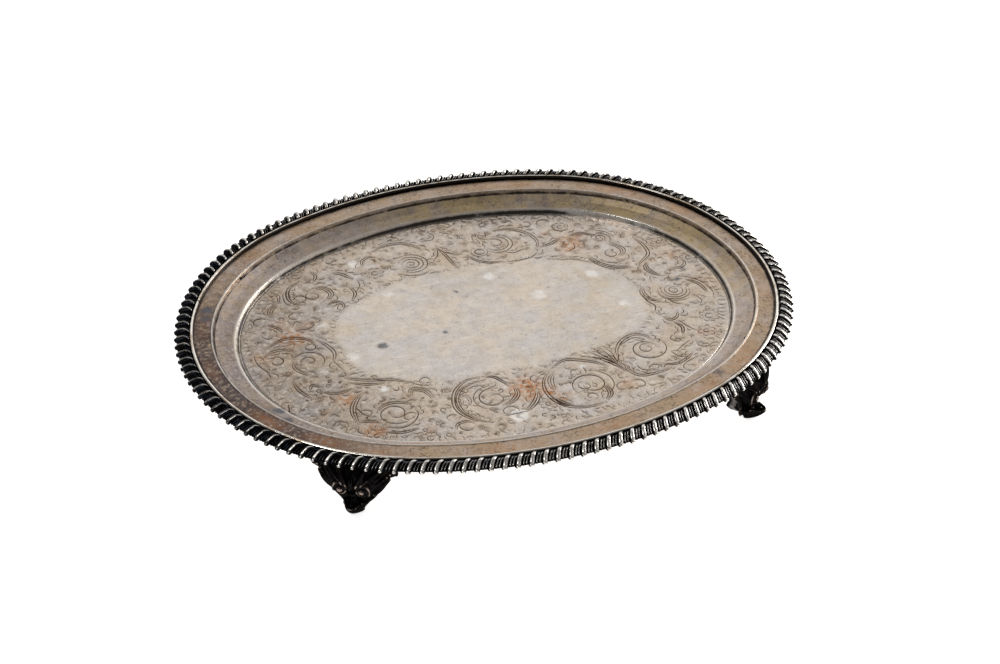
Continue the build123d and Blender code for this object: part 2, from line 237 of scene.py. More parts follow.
# Long lines through placed points: points, how many side by side, their gap and their width
SWEEPS = [
    # lower left scroll
    ([(-98, -68), (-97, -56), (-93, -48), (-87, -42)], 3, 1.5, 0.75),
    ([(-86, -61), (-80, -57), (-73, -57), (-67, -61)], 2, 1.6, 0.8),
    ([(-85, -76), (-78, -79), (-71, -77), (-66, -71), (-66, -66)], 1, 1.5, 0.95),
    ([(-87, -80), (-79, -83), (-70, -83)], 2, 1.4, 0.85),
    ([(-95, -52), (-93, -60), (-90, -64)], 1, 1.5, 0.8),
    ([(-96, -67), (-90, -68), (-87, -71)], 2, 1.5, 0.9),
    ([(-98, -70), (-100, -74), (-97, -78)], 1, 1.5, 0.7),
    ([(-64, -54), (-62, -49), (-56, -52), (-54, -60)], 3, 1.5, 0.75),
    # inner leaf on the left
    ([(-92, -26), (-84, -31), (-76, -34), (-68, -37), (-61, -42)], 2, 1.8, 0.85),
    ([(-90, -32), (-82, -36), (-74, -38)], 2, 1.5, 0.75),
    ([(-78, -29), (-77, -33), (-72, -36)], 1, 1.5, 0.85),
    ([(-61, -42), (-57, -46), (-51, -49)], 1, 1.5, 0.6),
    ([(-56, -46), (-55, -42), (-51, -41), (-50, -45)], 1, 1.5, 0.6),
    # large scroll left of the middle
    ([(-33, -92), (-42, -84), (-46, -73), (-42, -60), (-33, -52), (-24, -51)], 2, 1.6, 0.85),
    ([(-38, -88), (-43, -78), (-43, -68), (-38, -59), (-29, -55), (-24, -56)], 2, 1.3, 0.7),
    ([(-22, -52), (-17, -54), (-14, -60), (-13, -64)], 2, 1.4, 0.95),
    ([(-10, -66), (-11, -73), (-16, -78), (-21, -80)], 3, 1.4, 0.8),
    ([(-13, -89), (-7, -85), (-2, -79), (0, -73)], 3, 1.5, 0.8),
    ([(-24, -89), (-18, -89), (-12, -89)], 1, 1.5, 0.8),
    ([(-27, -58), (-25, -61), (-21, -59)], 1, 1.5, 0.6),
    ([(-40, -74), (-37, -71), (-37, -66), (-40, -63)], 2, 1.4, 0.5),
    # large scroll right of the middle
    ([(13, -60), (7, -66), (4, -75), (5, -85), (10, -93), (19, -97), (30, -97)], 2, 1.7, 0.85),
    ([(15, -62), (11, -66), (9, -72), (9, -78)], 3, 1.5, 0.6),
    ([(6, -84), (9, -90), (13, -93)], 3, 1.3, 1.0),
    ([(16, -57), (24, -53), (32, -56), (39, -61), (44, -67)], 2, 1.7, 0.9),
    ([(34, -82), (36, -86), (35, -91), (31, -95)], 3, 1.3, 0.9),
    ([(31, -62), (31, -67), (30, -69)], 1, 1.5, 0.7),
    # leaf fan between the scrolls on the right
    ([(52, -76), (49, -68), (44, -60), (38, -55)], 2, 1.6, 0.85),
    ([(51, -73), (48, -64), (43, -56), (40, -51)], 1, 1.5, 0.8),
    ([(50, -70), (48, -62), (45, -55), (44, -50)], 1, 1.5, 0.75),
    ([(50, -68), (49, -60), (48, -54), (47, -50)], 1, 1.5, 0.75),
    ([(50, -68), (51, -60), (51, -55), (49, -50)], 1, 1.5, 0.7),
    ([(50, -66), (53, -61), (54, -57)], 1, 1.5, 0.7),
    # right-hand lower scroll
    ([(52, -63), (55, -54), (61, -47), (69, -44), (75, -47), (77, -54)], 2, 1.7, 0.8),
    ([(57, -52), (62, -49), (68, -47), (73, -50)], 1, 1.5, 0.65),
    ([(54, -66), (53, -74), (57, -81), (66, -82), (76, -81)], 2, 1.6, 0.75),
    ([(59, -70), (60, -76), (66, -80)], 1, 1.5, 0.7),
    ([(73, -76), (80, -78), (88, -75), (93, -71)], 2, 1.5, 0.9),
    ([(82, -66), (84, -72), (88, -74)], 1, 1.5, 0.8),
    ([(85, -67), (91, -63), (97, -60)], 1, 1.5, 0.75),
    ([(99, -62), (99, -67), (103, -69), (107, -67)], 1, 1.5, 0.7),
    ([(83, -87), (82, -82), (87, -78), (95, -76)], 1, 1.5, 0.65),
    # right side
    ([(95, 0), (92, -7), (93, -14), (98, -19)], 3, 1.5, 0.75),
    ([(91, -8), (91, -16), (93, -22), (90, -28)], 1, 1.5, 1.0),
    ([(121, -3), (126, -10), (127, -20)], 2, 1.6, 0.95),
    ([(118, 2), (124, -2), (129, -10), (130, -20), (127, -27)], 1, 1.5, 0.7),
    ([(92, -33), (95, -38), (100, -36), (102, -31)], 2, 1.4, 0.7),
    ([(96, -41), (98, -47), (95, -54)], 2, 1.4, 1.0),
    ([(99, -40), (101, -47), (104, -53)], 1, 1.5, 0.85),
    ([(90, -52), (87, -55), (90, -59), (93, -57)], 1, 1.5, 0.75),
    ([(103, -16), (104, -22), (108, -26)], 1, 1.5, 0.8),
    ([(119, -20), (120, -26), (117, -30)], 1, 1.5, 0.7),
    # upper right
    ([(77, 66), (85, 66), (92, 60)], 2, 1.5, 1.0),
    ([(93, 67), (99, 62), (101, 56)], 1, 1.5, 0.7),
    ([(79, 42), (80, 34), (85, 26), (92, 22), (98, 21)], 3, 1.6, 0.9),
    ([(96, 49), (100, 43), (100, 38), (96, 34)], 3, 1.5, 0.7),
    ([(112, 51), (114, 41), (113, 31), (107, 25), (101, 21)], 2, 1.7, 0.8),
    ([(108, 22), (105, 16), (107, 9), (110, 6)], 3, 1.4, 0.95),
    ([(118, 11), (124, 10), (128, 13), (129, 18)], 2, 1.5, 0.7),
    ([(57, 60), (65, 62), (72, 66)], 2, 1.6, 0.8),
    ([(70, 50), (75, 52), (76, 57)], 1, 1.5, 0.8),
    ([(56, 46), (62, 43), (70, 40), (78, 33)], 1, 1.5, 0.6),
    # top right scroll
    ([(38, 88), (48, 85), (55, 77), (57, 67), (53, 58)], 2, 1.7, 0.75),
    ([(13, 66), (16, 60), (22, 55), (30, 53)], 2, 1.5, 0.9),
    ([(31, 52), (40, 51), (48, 52), (53, 56)], 1, 1.5, 0.8),
    ([(24, 89), (22, 82), (23, 74)], 1, 1.5, 0.6),
    ([(28, 88), (26, 83), (30, 79)], 1, 1.5, 0.6),
    ([(36, 62), (40, 60), (47, 62)], 1, 1.5, 0.7),
    # stems at the top
    ([(-1, 84), (0, 78), (5, 72), (11, 69)], 1, 1.5, 0.8),
    ([(-1, 82), (1, 72), (2, 62), (3, 56)], 2, 1.4, 0.8),
    ([(-1, 82), (-3, 74), (-8, 68)], 1, 1.5, 0.8),
    ([(0, 100), (2, 95), (-1, 91), (-7, 92)], 1, 1.5, 0.7),
    # top left scroll
    ([(-38, 91), (-29, 95), (-19, 94), (-12, 87), (-10, 80)], 2, 1.6, 0.8),
    ([(-31, 62), (-25, 58), (-18, 57), (-12, 60)], 1, 1.5, 0.7),
    ([(-38, 84), (-42, 86), (-47, 83), (-48, 77)], 2, 1.4, 0.7),
    # upper left scroll
    ([(-88, 75), (-95, 70), (-98, 62), (-97, 55), (-93, 51)], 2, 1.6, 1.0),
    ([(-100, 66), (-101, 57), (-98, 51)], 1, 1.5, 0.8),
    ([(-82, 66), (-76, 63), (-74, 56), (-79, 50)], 3, 1.5, 0.75),
    ([(-67, 77), (-62, 74), (-58, 67)], 2, 1.7, 0.85),
    ([(-62, 60), (-61, 52), (-65, 45)], 2, 1.5, 0.8),
    ([(-56, 66), (-56, 59), (-61, 52)], 1, 1.5, 0.7),
    ([(-80, 45), (-75, 48), (-71, 44), (-72, 38)], 2, 1.4, 0.8),
    ([(-80, 72), (-77, 77), (-78, 82)], 2, 1.5, 0.8),
    # left side
    ([(-123, 16), (-114, 21), (-105, 20), (-99, 15), (-98, 9)], 2, 1.6, 0.9),
    ([(-96, 15), (-92, 8), (-90, -1), (-93, -9)], 2, 1.7, 0.85),
    ([(-114, -2), (-114, -9), (-109, -17)], 2, 1.6, 0.8),
    ([(-128, 8), (-121, 12), (-114, 11), (-109, 6)], 2, 1.6, 0.7),
    ([(-132, 12), (-132, 3), (-129, -6), (-129, -13)], 1, 1.5, 0.9),
    ([(-119, -20), (-118, -28), (-114, -38)], 2, 1.6, 0.9),
    ([(-113, -30), (-110, -26), (-106, -30)], 2, 1.4, 0.8),
    ([(-108, -34), (-100, -38), (-91, -37)], 2, 1.4, 0.7),
    ([(-93, -8), (-91, -16), (-90, -20)], 1, 1.5, 0.75),
    ([(-117, 38), (-112, 33), (-111, 27)], 2, 1.3, 0.9),
    ([(-105, 57), (-111, 52), (-113, 45)], 3, 1.4, 0.6),
    ([(-105, 57), (-103, 64), (-105, 70)], 2, 1.4, 0.6),
    ([(-104, 32), (-101, 36), (-98, 33)], 1, 1.5, 0.7),
    ([(-103, 27), (-95, 27), (-91, 31)], 1, 1.5, 0.7),
    ([(-112, -66), (-108, -62), (-103, -65), (-104, -69)], 1, 1.5, 0.7),
    ([(-127, -38), (-128, -46), (-126, -54)], 1, 1.5, 1.0),
    ([(-52, -91), (-50, -87), (-45, -86), (-42, -88)], 2, 1.4, 0.75),
]

# Spirals and rings: centre, first radius, first direction, sweep, last radius and width
SPIRALS = [
    (-77, -66, 10, -40, -520, 2.2, 0.75),
    (-91, -61, 4, 150, -250, 1.8, 0.7),
    (-71, -72, 4.5, 20, 240, 2.0, 0.6),
    (-24, -72, 9.5, 60, 420, 2.4, 0.85),
    (-24, -72, 11.5, 80, 150, 10.2, 0.6),
    (-20, -86, 4.6, -40, 290, 3.4, 0.7),
    (29, -79, 11, 215, -420, 4.0, 0.85),
    (29, -79, 12.6, 60, -130, 12.0, 0.7),
    (26, -79, 4.6, 120, 300, 1.2, 0.65),
    (25, -89, 3.4, -50, 290, 1.6, 0.75),
    (71, -59, 11.5, 35, -390, 5.2, 0.8),
    (71, -59, 5.0, 60, 400, 1.0, 0.6),
    (67, -78, 4, 0, 200, 3, 0.6),
    (110, -11, 9.5, 150, 190, 9.0, 0.8),
    (110, -11, 7.6, 140, 220, 7.0, 0.75),
    (110, -11, 5.6, 100, 300, 4.6, 0.7),
    (110, -11, 3.4, 60, 400, 1.4, 0.7),
    (111, -11, 11.5, 170, 120, 11.0, 0.65),
    (93, 56, 6.4, -60, 230, 5.2, 0.75),
    (93, 57, 3.8, -60, 330, 1.2, 0.75),
    (93, 38, 4.6, 100, 340, 1.4, 0.7),
    (93, 37, 9.6, 200, 110, 8.6, 0.7),
    (33, 73, 10.5, 60, -200, 9.4, 0.75),
    (33, 73, 8.0, 80, -240, 7.0, 0.7),
    (33, 74, 5.2, 120, -330, 2.0, 0.7),
    (21, 68, 2.8, 0, 360, 2.8, 0.9),
    (21, 68, 5.2, 120, 260, 4.6, 0.6),
    (-21, 70, 10.2, 110, -240, 9.2, 0.7),
    (-21, 70, 7.6, 140, -300, 6.8, 0.7),
    (-21, 70, 5.2, 160, -330, 4.2, 0.7),
    (-21, 70, 2.6, 180, -360, 1.2, 0.7),
    (-84, 58, 4.8, 100, 330, 2.2, 0.85),
    (-92, 57, 4.2, 150, -260, 2.6, 0.8),
    (-105, -4, 9.0, 150, -200, 8.0, 0.8),
    (-105, -4, 5.2, 200, -330, 1.4, 0.8),
    (-101, 9, 3.8, 60, -300, 2.0, 0.85),
    (-122, 2, 5.0, 100, -300, 2.0, 0.85),
    (-45, -90, 5.0, 120, 200, 3.4, 0.7),
    (53, -88, 4.4, 150, -300, 2.4, 0.7),
    (44, -87, 4.0, 60, 240, 2.4, 0.6),
    (76, 77, 5.0, 90, 250, 3.8, 0.7),
    (58, 88, 3.6, 200, 260, 2.4, 0.6),
    (68, 85, 4.6, 0, 220, 3.4, 0.6),
    (-100, 41, 4.0, 60, 220, 2.6, 0.6),
    (-120, 42, 4.4, 20, 200, 3.4, 0.7),
]

# Flowers: centre, radius of the eye and number of petals
FLOWERS = [
    (117, -42, 2.2, 8),
    (-67, -93, 1.7, 8),
    (-44, 68, 1.9, 7),
    (76, 77, 1.5, 7),
    (133, 18, 1.7, 7),
    (1, -87, 1.5, 7),
    (-92, -81, 1.6, 7),
    (109, -55, 1.5, 6),
    (-88, 84, 1.6, 7),
    (124, 40, 1.5, 6),
]

# The plain middle of the well, anticlockwise from the right
PLAIN_OUTLINE = np.array(
    [
        (91, 5), (86, 20), (80, 30), (73, 38), (60, 46), (45, 51), (30, 52), (12, 56), (-5, 55), (-25, 56),
        (-42, 52), (-58, 44), (-70, 40), (-80, 27), (-86, 10), (-85, -8), (-83, -20), (-78, -29), (-64, -41),
        (-50, -47), (-30, -50), (-5, -51), (20, -52), (40, -49), (57, -47), (72, -42), (82, -33), (89, -22),
    ],
    float,
)  # fmt: skip


def through(points):
    """A smooth line through placed points, evenly resampled."""
    points = np.array(points, float)
    ends = np.concatenate([[2 * points[0] - points[1]], points, [2 * points[-1] - points[-2]]])
    t = np.linspace(0, 1, 12, endpoint=False)[:, None]
    runs = []
    for a, b, c, d in zip(ends, ends[1:], ends[2:], ends[3:]):
        runs.append(
            0.5 * (2 * b + (c - a) * t + (2 * a - 5 * b + 4 * c - d) * t**2 + (3 * b - a - 3 * c + d) * t**3)
        )
    return resampled(np.concatenate([*runs, points[-1:]]))


def resampled(line):
    """The same line with points one step apart."""
    return evenly(line, max(4, int(round(travelled(line)[-1] / STEP)) + 1))


def spiral(x, y, radius, start, sweep, last_radius):
    """Points of a spiral or ring; angles in degrees, anticlockwise."""
    turn = np.radians(np.linspace(start, start + sweep, 80))
    reach = np.linspace(radius, last_radius, 80)
    return resampled(np.stack([x + reach * np.cos(turn), y + reach * np.sin(turn)], -1))


def side_by_side(line, count, gap):
    """Parallel copies of a line to its left, each a little shorter."""
    left = left_of(line)
    ease = np.sin(np.pi * np.linspace(0.12, 0.88, len(line)))[:, None]
    copies = []
    for number in range(count):
        shortened = slice(number, len(line) - number) if len(line) > 2 * number + 5 else slice(None)
        copies.append((line + left * ease * gap * (number - (count - 1) / 2))[shortened])
    return copies


def half_widths(line, width, blunt=0.5):
    """Half the cut's width along a line, thin at both ends as a graver leaves it."""
    t = np.linspace(0, 1, len(line))
    return width / 2 * np.maximum(np.sin(np.pi * t) ** blunt, 0.28)


def curl(x, y, length, heading, bend):
    """A short bent stroke that starts at a point."""
    count = max(4, int(length / STEP) + 1)
    t = np.linspace(0, 1, count)
    angle = heading + bend * t**1.3
    step = length / (count - 1)
    line_x = x + np.concatenate([[0], np.cumsum(np.cos(angle[:-1]) * step)])
    line_y = y + np.concatenate([[0], np.cumsum(np.sin(angle[:-1]) * step)])
    return np.stack([line_x, line_y], -1)


def flower(x, y, eye, petals):
    """An eye ring and a ring of petals."""
    strokes = [(spiral(x, y, eye, 0, 360, eye), 0.8)]
    for number in range(petals):
        angle = FULL_TURN * number / petals
        reach = eye + 2.2
        petal_x, petal_y = x + reach * math.cos(angle), y + reach * math.sin(angle)
        strokes.append((spiral(petal_x, petal_y, 1.5, math.degrees(angle) - 120, 240, 1.3), 0.55))
    return strokes


def placed_strokes():
    """Every listed line with its width."""
    strokes = []
    for points, count, gap, width in SWEEPS:
        strokes += [(copy, width * BOLD) for copy in side_by_side(through(points), count, gap)]
    for *shape, width in SPIRALS:
        strokes.append((spiral(*shape), width * BOLD))
    for place in FLOWERS:
        strokes += flower(*place)
    return strokes


def inside(outline, x, y):
    """True where a point is inside a closed outline."""
    crossings = np.zeros(np.shape(x), bool)
    for (x1, y1), (x2, y2) in zip(outline, np.roll(outline, -1, axis=0)):
        between = (y1 > y) != (y2 > y)
        reach = x1 + (y - y1) * (x2 - x1) / (y2 - y1 if y2 != y1 else 1e-9)
        crossings ^= between & (x < reach)
    return crossings


def edge_strokes(draw):
    """Commas along the riser and feathering round the plain middle."""
    strokes = []
    for turn in even_turns(0, FULL_TURN, EDGE_COMMAS)[:-1]:
        x, y = rim_points(turn, WELL_SEAM - draw.uniform(1.6, 3.4))
        inward = turn + math.pi + draw.uniform(-0.9, 0.9)
        strokes.append((curl(x, y, draw.uniform(2.5, 5.5), inward, draw.uniform(-2.6, 2.6)), 0.55))
    outline = resampled(through([*PLAIN_OUTLINE, PLAIN_OUTLINE[0]]))[::5]
    for x, y in outline:
        away = math.atan2(y, x) + draw.uniform(-1.1, 1.1)
        strokes.append((curl(x, y, draw.uniform(2.5, 5.0), away, draw.uniform(-2.2, 2.2)), 0.45))
    return strokes


def leaf_strokes(draw):
    """Commas that grow off the long lines and bend back along them, as leaves off a stem."""
    edge = rim_points(even_turns(0, FULL_TURN, 200)[:-1], WELL_SEAM - 2.0)
    strokes = []
    for points, count, gap, _ in SWEEPS:
        stem = through(points)
        along = np.gradient(stem, axis=0)
        side = draw.choice([-1, 1])
        place = int(draw.uniform(2, 6))
        while place < len(stem) - 2:
            heading = math.atan2(along[place, 1], along[place, 0])
            away = side * (count * gap / 2 + 0.8)
            x, y = stem[place] + away * np.array([-math.sin(heading), math.cos(heading)])
            bend = -side * draw.uniform(1.0, 3.4)
            leaf = curl(x, y, draw.uniform(2.6, 6.0), heading + side * draw.uniform(0.7, 1.3), bend)
            if inside(edge, *leaf[-1]) and not inside(PLAIN_OUTLINE * 0.98, *leaf[-1]):
                strokes.append((leaf, draw.uniform(0.5, 0.85)))
            place += int(draw.uniform(5, 12))
    return strokes


def filling_strokes(draw, taken, wanted):
    """Small curls and commas in the room that the larger work leaves."""
    tree = tree_of(taken)
    strokes, others = [], []
    edge = rim_points(even_turns(0, FULL_TURN, 200)[:-1], WELL_SEAM - 4.0)
    tries = 0
    while len(strokes) < wanted and tries < wanted * TRIES_EACH:
        tries += 1
        x, y = draw.uniform(-138, 138), draw.uniform(-109, 109)
        if not inside(edge, x, y) or inside(PLAIN_OUTLINE * 1.04, x, y):
            continue
        crowded = any(abs(x - a) < OTHERS_ROOM and abs(y - b) < OTHERS_ROOM for a, b in others)
        if crowded or tree.find((x, y, 0))[2] < START_ROOM:
            continue
        heading = math.atan2(y, x) + draw.choice([-1, 1]) * draw.uniform(0.6, 2.4)
        bend = draw.choice([-1, 1]) * draw.uniform(2.2, 6.6)
        line = curl(x, y, draw.uniform(2.4, 9.0), heading, bend)
        gaps = [tree.find((px, py, 0))[2] for px, py in line[::2]]
        if min(gaps) < LINE_ROOM:
            continue
        others += [tuple(point) for point in line[::4]]
        strokes.append((line, draw.uniform(0.4, 0.85)))
        if draw.uniform() < 0.5:
            strokes.append((curl(x, y, draw.uniform(1.6, 4), heading + 1.1, -bend * 0.6), 0.45))
        elif draw.uniform() < 0.6:
            strokes += [(hatch, 0.42) for hatch in side_by_side(line, 2, 1.7)]
    return strokes


def all_strokes():
    """Every cut as a line and its width: the placed ones first, then what grows round them."""
    draw = np.random.default_rng(SEED)
    strokes = placed_strokes() + edge_strokes(draw) + leaf_strokes(draw)
    taken = np.concatenate([line for line, _ in strokes])
    return strokes + filling_strokes(draw, taken, FILLING_COUNT)


# ---------------------------------------------------------------- tray: the well
WELL_GRID = 2.4
# Depth of a cut as a share of its half width, and the depth that is fully black
CUT_DEPTH = 0.55
DEEP_CUT = 0.16
# Closest spacing of the points that follow the cuts
CUT_SPACING = 0.17
# How far off a cut still counts as near, and how many near points make a crowded place
CROWD_REACH = 2.6
CROWD_FULL = 40
RING = even_turns(0, FULL_TURN, 601)[:-1]
WELL_SWAY = 0.5


def well_edge():
    """The well's outline where the sheet of the rim takes over."""
    return rim_points(RING, WELL_SEAM + WELL_SWAY * np.cos(2 * RING))


def cut_points(strokes):
    """Centre points, edge points and half widths of every cut."""
    centres, edges, halves = [], [], []
    for line, width in strokes:
        half = half_widths(line, width)
        side = left_of(line) * half[:, None]
        centres.append(line)
        edges += [line + side, line - side]
        halves.append(half)
    return np.concatenate(centres), np.concatenate(edges), np.concatenate(halves)


def thinned(points, spacing):
    """Points with no two in one cell of a fine grid, first come first kept."""
    seen = set()
    chosen = []
    for point in points:
        cell = (int(point[0] // spacing), int(point[1] // spacing))
        if cell not in seen:
            seen.add(cell)
            chosen.append(point)
    return np.array(chosen)


def well_points(strokes):
    """Plan points for the well's surface, dense only where it is cut, and its outline first."""
    centres, edges, halves = cut_points(strokes)
    outline = well_edge()
    inner = rim_points(RING[::2], WELL_SEAM - 0.8)
    cuts = thinned(np.concatenate([centres, edges]), CUT_SPACING)
    cuts = cuts[inside(inner, cuts[:, 0], cuts[:, 1])]
    tree = tree_of(cuts)
    spans = [np.arange(-reach, reach, WELL_GRID) for reach in GRID_REACH]
    grid_x, grid_y = np.meshgrid(*spans)
    grid_x[::2] += WELL_GRID / 2
    grid = np.stack([grid_x.ravel(), grid_y.ravel()], -1)
    grid = grid[inside(inner, grid[:, 0], grid[:, 1])]
    free = [point for point in grid if tree.find((*point, 0))[2] > 0.7]
    return np.concatenate([outline, inner, cuts, free]), centres, halves


def cut_depths(points, centres, halves):
    """How deep the cuts are at each point, and how thick with cuts the place is as a share."""
    tree = tree_of(centres)
    depth, crowd = np.zeros(len(points)), np.zeros(len(points))
    for number, (x, y) in enumerate(points):
        near = tree.find_range((x, y, 0), CROWD_REACH)
        crowd[number] = len(near)
        for _, index, distance in near:
            half = halves[index]
            if distance < half:
                depth[number] = max(depth[number], (half - distance) * CUT_DEPTH)
    return depth, np.clip(crowd / CROWD_FULL, 0, 1)


# Stains on the well: x, y, radius and strength
COPPER_SPOTS = [
    (-4, -70, 11, 1.35), (6, -77, 6, 1.0), (74, 57, 9, 1.0), (70, 52, 5, 0.8), (83, 63, 5, 0.5),
    (-97, -45, 6, 0.9), (-92, -76, 7, 1.0), (-107, 21, 9, 1.0), (-110, 36, 6, 0.6), (-95, 30, 5, 0.35),
    (48, -86, 6, 0.5), (12, -84, 5, 0.6), (-128, 8, 7, 0.5), (124, 24, 7, 0.4), (64, 74, 4, 0.5),
    (110, -57, 6, 0.5), (-66, -86, 5, 0.35), (105, -55, 4, 0.4), (132, -10, 6, 0.3),
]  # fmt: skip
BLUE_SPOTS = [
    (-63, -4, 4.5, 1.0), (-26.5, -4, 2.6, 1.0), (117, -1, 2.4, 1.3), (9, -27, 1.2, 1.2), (48, -40, 1.8, 0.9),
    (-7, 33, 2.0, 1.2), (44, -6, 2.2, 0.6), (60, 17, 1.3, 0.9), (-66, 20, 1.5, 0.8), (-36, 14, 1.4, 0.7),
    (-128, -52, 4.0, 1.1), (-93, 30, 2.0, 0.8), (33, 21, 1.0, 0.7), (-40, 20, 1.2, 0.6), (125, 8, 5, 0.6),
    (-25, -45, 1.2, 0.7), (5, -38, 3.0, 0.4), (12, 43, 1.2, 0.8), (-68, -8, 1.2, 0.8), (-30, -96, 3.5, 0.5),
]  # fmt: skip
WHITE_SPOTS = [
    (-82, -9, 7, 0.7), (-17, -91, 6, 1.5), (-75, -43, 4, 0.9), (-52, 82, 6, 0.8), (-88, 28, 5, 0.7),
    (36, 13, 7, 0.8), (73, 22, 6, 0.8), (17, 41, 6, 0.8), (-44, 44, 5, 0.8), (78, -13, 6, 0.7),
    (-68, 34, 3, 0.5), (-10, -34, 3, 0.5), (45, 52, 6, 0.6), (31, -62, 3, 0.8), (25, 90, 4, 0.5),
    (-46, 95, 7, 0.4), (61, 84, 5, 0.5), (-100, -15, 8, 0.5), (0, 60, 4, 0.3), (70, -5, 6, 0.4),
]  # fmt: skip


def make_well(material):
    """The engraved floor of the tray: a slab whose upper face carries every cut."""
    plan, centres, halves = well_points(all_strokes())
    rim_count = len(RING)
    outline = [list(range(rim_count))]
    made = geometry.delaunay_2d_cdt([Vector(p) for p in plan], [], outline, 1, 1e-5)
    top = np.array([(v.x, v.y) for v in made[0]])
    faces = [list(face) for face in made[2]]
    depth, crowd = cut_depths(top, centres, halves)
    edge_distance = np.clip((rim_gap(top) - 1.0) / 8, 0, 1)
    height = WELL_Z + 0.05 * ripple(top[:, 0], top[:, 1]) * edge_distance - depth
    below = well_edge()
    count = len(top)
    points = np.concatenate(
        [np.column_stack([top, height]), np.column_stack([below, np.full(rim_count, WELL_Z - SHEET)])]
    )
    order = [int(np.argmin(np.hypot(*(top - p).T))) for p in below]
    for k in range(rim_count):
        after = (k + 1) % rim_count
        faces.append([order[k], count + k, count + after, order[after]])
    faces.append([count + k for k in range(rim_count)][::-1])
    x, y = points[:, 0], points[:, 1]
    stains = {"copper": COPPER_SPOTS, "blue": BLUE_SPOTS, "white": WHITE_SPOTS}
    marks = {name: spots(x, y, places) for name, places in stains.items()}
    marks["cut"] = np.concatenate([np.clip(depth / DEEP_CUT, 0, 1), np.zeros(rim_count)])
    marks["crowd"] = np.concatenate([crowd, np.zeros(rim_count)])
    plain = [inside(PLAIN_OUTLINE * scale, x, y) for scale in (0.98, 1.03, 1.08, 1.13)]
    marks["band"] = 1 - np.mean(plain, axis=0)
    marks["tarnish"] = 0.5 * np.clip((-x - 50) / 60, 0, 1) * marks["band"]
    return finish_piece(make_piece("tray_well", points, faces, marks), material, "plated_sheet", "tray_plate")


def rim_gap(points):
    """How far plan points are inside the well's outline, roughly."""
    tree = tree_of(well_edge())
    return np.array([tree.find((x, y, 0))[2] for x, y in points])


# ---------------------------------------------------------------- tray: the rim
# From the well outward: offset, height, sway of the offset between sides and ends, corner radius
RIM_CORNERS = [
    (WELL_SEAM, WELL_Z, WELL_SWAY, 0),
    (-25.55, WELL_Z, WELL_SWAY, 0.25),
    (-24.35, CREST_Z - 8.6, 0.9, 0.4),
    (-18.6, CREST_Z - 7.3, 1.15, 7.0),
    (-13.2, CREST_Z - 4.1, 1.3, 0.5),
    (-12.75, CREST_Z - 2.15, 1.3, 0.35),
    (-12.0, CREST_Z - 1.95, 1.3, 0.4),
    (-11.2, CREST_Z - 2.3, 1.2, 0.6),
    (WIRE_INNER, FLANGE_Z, 0, 0.5),
    (SHEET_EDGE, FLANGE_Z, 0, 0),
]
# Stains on the rim: x, y, radius and strength
RIM_COPPER = [
    (150, 60, 18, 0.6), (125, 92, 22, 0.8), (60, 118, 20, 0.45), (-150, 35, 12, 0.4), (-140, -58, 14, 0.8),
    (-118, -82, 14, 0.8), (-95, -103, 14, 0.5), (80, -112, 18, 0.5), (110, -95, 16, 0.6), (150, -40, 14, 0.4),
    (-105, 92, 14, 0.4), (20, -125, 16, 0.4), (-40, -124, 14, 0.5), (-158, -5, 12, 0.35),
]  # fmt: skip
RIM_BLUE = [
    (-134, -45, 4.5, 1.1), (-132, -56, 4.0, 1.0), (148, 62, 6, 0.5), (92, -104, 7, 0.6), (-88, 104, 6, 0.5),
    (-147, 52, 5, 0.9), (-150, 44, 5, 0.7), (140, -66, 5, 0.5),
]  # fmt: skip


# The way across the plan to the side whose riser gets painted shade, and the places on that riser painted
# bright as highlights instead
FAR_WAY = (0.36, 0.93)
RISER_GLEAMS = [(94, 84, 16, 1.0), (110, 73, 16, 1.0), (121, 58, 12, 0.8)]


def bump(value, middle, width):
    """One at the middle, falling smoothly to nothing at a width."""
    return np.clip(1 - np.abs((value - middle) / width), 0, 1) ** 1.5


